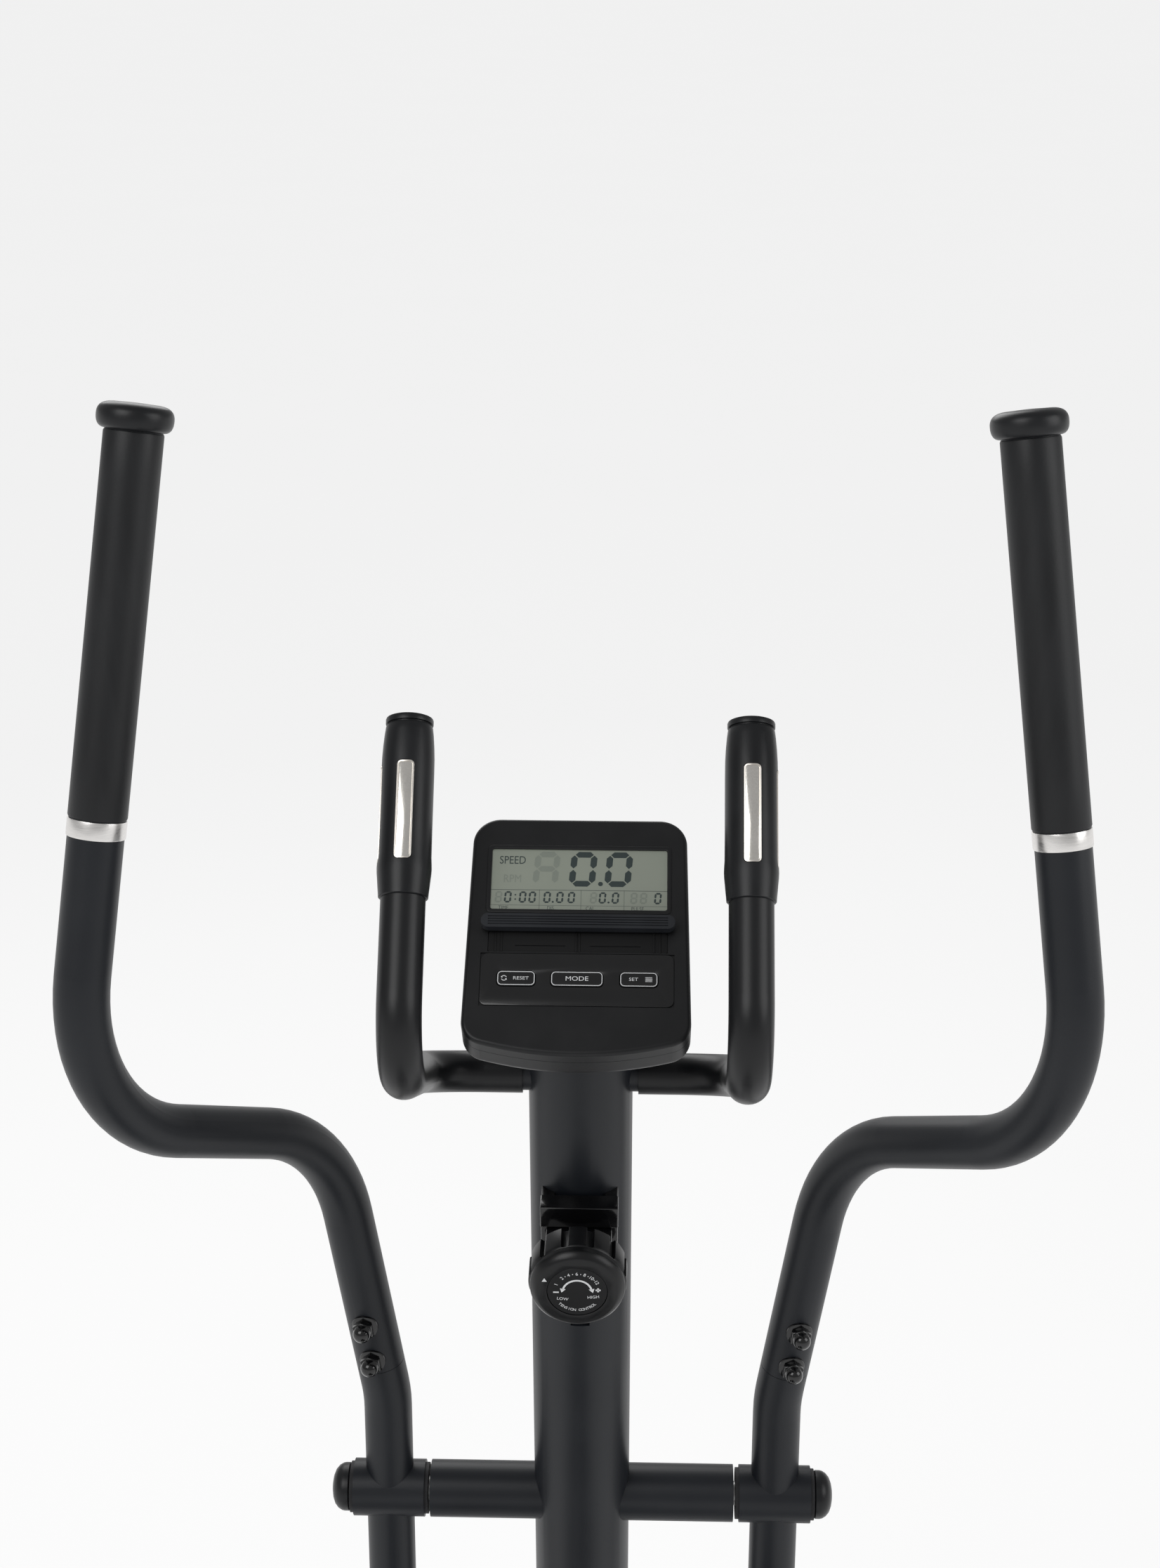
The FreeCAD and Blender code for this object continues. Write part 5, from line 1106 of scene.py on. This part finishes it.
@dataclass
class TensionKnob:
    """Lobed knob with a pointer, the fixed dial inside it, and the bracket that holds them."""

    level: float = 1049.0
    lean: float = math.radians(9.6)
    mast_reach: float = 325.0
    mast_level: float = 1116.0
    face: float = 90.0
    depth: float = 26.0
    radius: float = 28.6
    dial_radius: float = 18.0
    lobes: int = 12
    scale_radius: float = 13.7
    scale: tuple = ((131.5, "2"), (112.0, "4"), (91.0, "6"), (71.0, "8"), (52.0, "10"), (33.0, "12"))
    title: str = "TENSION CONTROL"
    mast_radius: float = 31.8
    bracket: dict = field(default_factory=lambda: {
        "saddle": ((47.0, 56.0, 24.0), (0.0, -2.5, 30.0), 0.8, 3),
        "notch": ((31.0, 12.0, 30.0), (0.0, 27.0, 30.0), 1.5, 3),
        "cover": ((47.6, 15.0, 13.0), (0.0, 20.6, 40.0), 0.7, 3),
        "nose": ((40.0, 42.0, 25.0), (0.0, -9.0, 50.6), 0.8, 3)})

    def _seat(self, ahead: float) -> Matrix:
        """Matrix on the knob's axis: Z out towards the rider, Y up the mast."""
        reach = self.mast_reach + math.tan(self.lean) * (self.mast_level - self.level)
        outward = Vector((0, -math.cos(self.lean), -math.sin(self.lean)))
        return frame_of((Vector((0, reach, self.level)) + outward * ahead) * MM, outward)

    def build(self, palette: Palette) -> list:
        """Make the knob, pointer, dial, print and bracket.

        Args:
            palette: the finishes.

        Returns:
            The pieces.
        """
        knob = self._knob()
        palette.paint(knob, "knob_plastic")
        pointer = self._pointer()
        palette.paint(pointer, "white_print")
        dial = self._dial()
        palette.paint(dial, "dial_black")
        marks = Bench.joined("dial_marks", self._marks())
        palette.paint(marks, "white_print")
        for piece in (knob, pointer, dial, marks):
            Bench.placed(piece, self._seat(self.face))
        for piece in (knob, pointer):
            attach(piece, "tension_knob")
        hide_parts("knob")
        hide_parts("tension_dial")
        bracket = self._bracket()
        palette.paint(bracket, "polished_black")
        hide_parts("tension_bracket")
        for piece in (dial, marks, bracket):
            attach(piece, "frame")
        return [knob, pointer, dial, marks, bracket]

    def _knob(self) -> bpy.types.Object:
        """Skirt with broad lobes behind a round rim, and a dished face with a hole for the dial."""
        radius, depth = self.radius, self.depth
        body = Bench.turned("knob_body", [(r * MM, h * MM) for r, h in (
            (radius - 3.2, -depth), (radius + 0.5, -depth + 0.4), (radius + 1.1, -depth + 1.4),
            (radius + 1.1, -9.6), (radius + 0.7, -8.2), (radius, -7.4), (radius, -5.2), (radius - 0.4, -3.8),
            (radius - 3.0, -0.7), (radius - 4.6, 0.0))], 144)
        tools = [Bench.turned("dial_well", [((self.dial_radius + 0.35) * MM, -1.6 * MM),
                                            ((self.dial_radius + 0.35) * MM, 2.0 * MM)], 96)]
        for index in range(self.lobes):
            turn = math.tau * (index + 0.5) / self.lobes
            groove = Bench.block("groove", (8.0 * MM, 4.6 * MM, 22.0 * MM),
                                 ((radius + 1.6) * MM, 0, (-7.9 - 11.0) * MM), 1.0 * MM, 3)
            tools.append(Bench.placed(groove, Matrix.Rotation(turn, 4, "Z")))
        Bench.rounded(Bench.cut(body, *tools), 0.5 * MM, 3, 28.0)
        shaft = Bench.turned("shaft", [(3.9 * MM, (-self.face + 46.0) * MM), (3.9 * MM, -depth * MM)], 32)
        return Bench.smooth(Bench.joined("tension_knob_body", [shaft, body]), 38.0)

    def _pointer(self) -> bpy.types.Object:
        """Small white triangle on the face, towards the first mark."""
        turn = math.radians(156.5)
        middle = (21.4 * math.cos(turn), 21.4 * math.sin(turn))
        outline = [(middle[0] + 1.75 * math.cos(a), middle[1] + 1.75 * math.sin(a))
                   for a in (math.radians(90 + 120 * step) for step in range(3))]
        return Bench.plate("knob_pointer", [(x * MM, y * MM) for x, y in outline], 0.0, 0.06 * MM)

    def _dial(self) -> bpy.types.Object:
        """Fixed disc on its stem."""
        disc = Bench.turned("disc", [(r * MM, h * MM) for r, h in (
            (self.dial_radius - 0.2, -1.4), (self.dial_radius, -1.2), (self.dial_radius, -0.35),
            (self.dial_radius - 0.3, -0.1))], 96)
        stem = Bench.turned("stem", [(2.0 * MM, (38.0 - self.face) * MM), (2.0 * MM, -1.4 * MM)], 24)
        return Bench.smooth(Bench.joined("dial_plate", [stem, disc]))

    def _marks(self) -> list:
        """Numbers, points, signs, the double arrow and the words of the dial."""
        level = -0.1 * MM
        marks = []

        def flat(outline: Sequence[Point]) -> None:
            """Add a printed shape given in millimetres."""
            marks.append(Bench.plate("mark", [(x * MM, y * MM) for x, y in outline], level,
                                     level + 0.05 * MM))

        def written(words: str, height: float, turn: float, reach: float, foot_in: bool = True) -> None:
            """Add a word or letter on a circle, its foot towards the middle or away from it."""
            angle = math.radians(turn)
            spin = angle - math.pi / 2 if foot_in else angle + math.pi / 2
            place = (reach * math.cos(angle) * MM, reach * math.sin(angle) * MM, level)
            marks.append(Bench.lettering("mark", words, height * MM, place, 0.05 * MM, spin))

        for turn, words in self.scale:
            written(words, 2.3, turn, self.scale_radius)
        for first, second in zip(self.scale, self.scale[1:]):
            turn = math.radians((first[0] + second[0]) / 2)
            flat([(self.scale_radius * math.cos(turn) + 0.32 * math.cos(a),
                   self.scale_radius * math.sin(turn) + 0.32 * math.sin(a))
                  for a in (math.tau * step / 10 for step in range(10))])
        written("1", 2.3, 156.5, self.scale_radius)
        flat([(-14.4, -0.9), (-11.0, -0.9), (-11.0, 0.1), (-14.4, 0.1)])
        flat([(11.0, 1.0), (14.0, 1.0), (14.0, 2.1), (11.0, 2.1)])
        flat([(11.95, 0.05), (13.05, 0.05), (13.05, 3.05), (11.95, 3.05)])
        flat(arc_band(8.1, 9.3, math.radians(12.0), math.radians(168.0), 40))
        for hand in (1, -1):
            corners = [(hand * 6.9, 1.9), (hand * 10.3, 2.6), (hand * 9.4, -0.6)]
            flat(corners if hand < 0 else corners[::-1])
        for words, turn, reach in (("LOW", 212.0, 10.4), ("HIGH", 338.0, 10.4)):
            angle = math.radians(turn)
            marks.append(Bench.lettering("mark", words, 2.1 * MM, (reach * math.cos(angle) * MM,
                                                                  reach * math.sin(angle) * MM, level),
                                         0.05 * MM, math.radians(-6 if turn < 270 else 6)))
        step = 96.0 / (len(self.title) - 1)
        for index, letter in enumerate(self.title):
            if letter.strip():
                written(letter, 1.9, 222.0 + step * index, self.scale_radius + 0.3, False)
        return marks

    def _part(self, name: str) -> bpy.types.Object:
        """Block of the bracket, with its size, middle and rounding from the table."""
        size, middle, edge, steps = self.bracket[name]
        return Bench.block(name, [value * MM for value in size], [value * MM for value in middle],
                           edge * MM, steps)

    def _bracket(self) -> bpy.types.Object:
        """Saddle against the mast, the square cover above the knob and the nose behind it."""
        saddle, notch, cover, nose = (self._part(name) for name in ("saddle", "notch", "cover", "nose"))
        mast = Bench.turned("mast", [(self.mast_radius * MM, -0.1), (self.mast_radius * MM, 0.1)], 160)
        Bench.cut(saddle, Bench.placed(mast, Matrix.Rotation(math.pi / 2, 4, "X")), notch)
        bracket = Bench.joined("tension_housing", [cover, nose, saddle])
        return Bench.smooth(Bench.placed(bracket, self._seat(0.0)), 35.0)


# ---- pedals -----------------------------------------------------------------------------------------


@dataclass
class PedalMat:
    """Ribbed non-slip mat on the floor of one pedal."""

    side: Side
    pivot: tuple = (0.13, 0.378447, 0.32)
    run: float = 625.0742
    tilt: float = math.radians(11.0682)
    ahead: float = 235.0
    outward: float = 36.0
    floor: float = 34.0
    size: tuple = (110.0, 314.0)
    ribs: int = 17

    def build(self, palette: Palette) -> bpy.types.Object:
        """Make the mat.

        Args:
            palette: the finishes.

        Returns:
            The mat.
        """
        width, length = self.size
        pieces = [Bench.plate("base", rounded_box(width * MM, length * MM, 16.0 * MM), 0.05 * MM, 1.3 * MM,
                              0.5 * MM, 2)]
        spacing = (length - 50.0) / (self.ribs - 1)
        for index in range(self.ribs):
            along = -(length - 50.0) / 2 + spacing * index
            pieces.append(Bench.block("rib", ((width - 26.0) * MM, 6.0 * MM, 2.4 * MM),
                                      (0, along * MM, 1.9 * MM), 1.0 * MM, 2))
        mat = Bench.joined(self.side.word + "_pedal_mat", pieces[1:] + pieces[:1])
        palette.paint(mat, "foot_rubber")
        sign = self.side.value
        place = Matrix.Translation(Vector((sign * self.pivot[0], self.pivot[1], self.pivot[2])))
        place @= Matrix.Rotation(sign * self.tilt, 4, "X")
        place @= Matrix.Translation(Vector((sign * self.outward, self.ahead - self.run, self.floor)) * MM)
        Bench.smooth(Bench.placed(mat, place))
        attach(mat, self.side.word + "_pedal_set")
        return mat


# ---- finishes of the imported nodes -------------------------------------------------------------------


@dataclass
class NodeFinishes:
    """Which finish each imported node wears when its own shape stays."""

    painted: tuple = ("base_frame", "mast_and_pivot", "drive_frame", "front_foot", "rear_stabilizer",
                      "left_swing_tube", "right_swing_tube", "left_upper_arm", "right_upper_arm",
                      "left_pedal_bar", "right_pedal_bar", "crank", "magnet_carrier")
    by_finish: dict = field(default_factory=lambda: {
        "bar_paint": ("fixed_handlebar",),
        "soft_grip": ("left_grip", "right_grip"),
        "bright_ring": ("left_grip_ring", "right_grip_ring"),
        "grip_shell": ("pulse_grips", "plastic_caps", "foot_end_caps"),
        "contact_plate": ("pulse_plates",),
        "console_shell": ("console_back", "console_bezel", "console_bracket", "battery_cover"),
        "ledge_satin": ("reading_ledge",),
        "key_gloss": ("key_panel", "reset_key", "mode_key", "set_key"),
        "lcd_film": ("lcd_lens",),
        "board_green": ("display",),
        "polished_black": ("tension_bracket", "left_arm_bolts", "right_arm_bolts", "frame_bolts",
                           "cover_screws", "left_pedal_pins", "right_pedal_pins"),
        "knob_plastic": ("knob", "tension_dial", "idler_wheel"),
        "housing_shell": ("left_housing", "right_housing", "drive_pulley"),
        "disc_shell": ("crank_discs",),
        "pedal_plastic": ("left_pedal", "right_pedal", "left_pivot_bushes", "right_pivot_bushes"),
        "foot_rubber": ("left_transport_wheel", "right_transport_wheel"),
        "belt_rubber": ("drive_belt", "brake_cable", "speed_sensor_wire"),
        "turned_iron": ("flywheel_and_pulley",),
        "bare_steel": ("axles_and_bearings", "swing_axle", "brake_magnets"),
    })

    def dress(self, nodes: dict, palette: Palette) -> None:
        """Give every node its finish.

        Args:
            nodes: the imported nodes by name.
            palette: the finishes.
        """
        chosen = {name: "powder_coat" for name in self.painted}
        for finish, names in self.by_finish.items():
            chosen.update(dict.fromkeys(names, finish))
        for name, node in nodes.items():
            node.data.materials.clear()
            node.data.materials.append(palette.materials[chosen.get(name, "powder_coat")])
            LOG.info("node %s wears %s", name, chosen.get(name, "powder_coat"))


# ---- camera, floor and light ------------------------------------------------------------------------


@dataclass
class Studio:
    """Pale floor, soft lamps and the camera above and behind the rider's place."""

    eye: tuple = (0.0348, -1.0677, 1.836)
    pitch: float = 20.0
    yaw: float = 1.47
    roll: float = 0.12
    lens: float = 58.04
    backdrop: tuple = (0.905, 0.905, 0.905)
    lamps: dict = field(default_factory=lambda: {
        "key_lamp": ((-1.6, -1.9, 3.4), (0.0, 0.2, 1.1), 2.0, 42.0),
        "side_lamp": ((2.3, -0.5, 2.3), (0.0, 0.2, 1.1), 1.6, 20.0),
        "rim_lamp": ((-0.6, 2.6, 2.7), (0.0, 0.2, 1.2), 1.8, 26.0)})
    sky_strength: float = 0.42
    floor_glow: float = 0.78

    def build(self, palette: Palette) -> None:
        """Make the floor, lamps, sky and camera."""
        self._floor()
        for name, lamp in self.lamps.items():
            self._lamp(name, *lamp)
        world = bpy.data.worlds.new("soft_sky")
        bpy.context.scene.world = world
        world.use_nodes = True
        world.node_tree.nodes["Background"].inputs["Color"].default_value = (*self.backdrop, 1.0)
        world.node_tree.nodes["Background"].inputs["Strength"].default_value = self.sky_strength
        self._camera()
        bpy.context.scene.view_settings.view_transform = "Standard"

    def _floor(self) -> None:
        """Plain pale floor."""
        Bench.clear()
        bpy.ops.mesh.primitive_plane_add(size=400.0, location=(0, 0, 0))
        floor = Bench.added("floor")
        graph = Graph("pale_floor")
        haze = graph.noise(0.8, 2.0)
        floor.data.materials.append(graph.surface(
            Base_Color=graph.mix(haze, (0.24, 0.24, 0.24), (0.26, 0.26, 0.26)), Roughness=1.0,
            Specular_IOR_Level=0.0, Emission_Color=(1.0, 1.0, 1.0, 1.0), Emission_Strength=self.floor_glow))

    @staticmethod
    def _lamp(name: str, place: Point, target: Point, size: float, power: float) -> None:
        """Square soft lamp turned to a target."""
        Bench.clear()
        bpy.ops.object.light_add(type="AREA", location=place)
        lamp = bpy.context.object
        lamp.name = name
        lamp.data.shape = "SQUARE"
        lamp.data.size = size
        lamp.data.energy = power
        lamp.rotation_euler = (Vector(target) - Vector(place)).to_track_quat("-Z", "Y").to_euler()

    def _camera(self) -> None:
        """Camera that looks ahead and down, turned a little about its own axis."""
        Bench.clear()
        bpy.ops.object.camera_add(location=self.eye)
        camera = bpy.context.object
        camera.name = "camera"
        camera.data.lens = self.lens
        camera.data.sensor_width = 36.0
        tilt = Matrix.Rotation(math.radians(90.0 - self.pitch), 4, "X")
        spin = Matrix.Rotation(math.radians(self.roll), 4, "Z")
        heading = Matrix.Rotation(math.radians(self.yaw), 4, "Z")
        camera.matrix_world = Matrix.Translation(Vector(self.eye)) @ heading @ tilt @ spin
        bpy.context.scene.camera = camera


def main() -> None:
    """Build the scene."""
    logging.basicConfig(level=logging.INFO, format="%(message)s")
    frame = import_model()
    palette = Palette()
    NodeFinishes().dress(frame["nodes"], palette)
    for side in Side:
        for piece in SwingArm(side).build(palette):
            LOG.info("made %s", piece.name)
    covers = EndCovers().build(palette)
    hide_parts("plastic_caps")
    for side in Side:
        sleeve, plates, rims = PulseGrip(side).build(palette)
        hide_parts("pulse_grips")
        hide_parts("pulse_plates")
        LOG.info("made %s, %s and %s", sleeve.name, plates.name, rims.name)
    for piece in Console().build(palette) + TensionKnob().build(palette):
        LOG.info("made %s", piece.name)
    for side in Side:
        LOG.info("made %s", PedalMat(side).build(palette).name)
    Studio().build(palette)


if __name__ == "__main__":
    main()
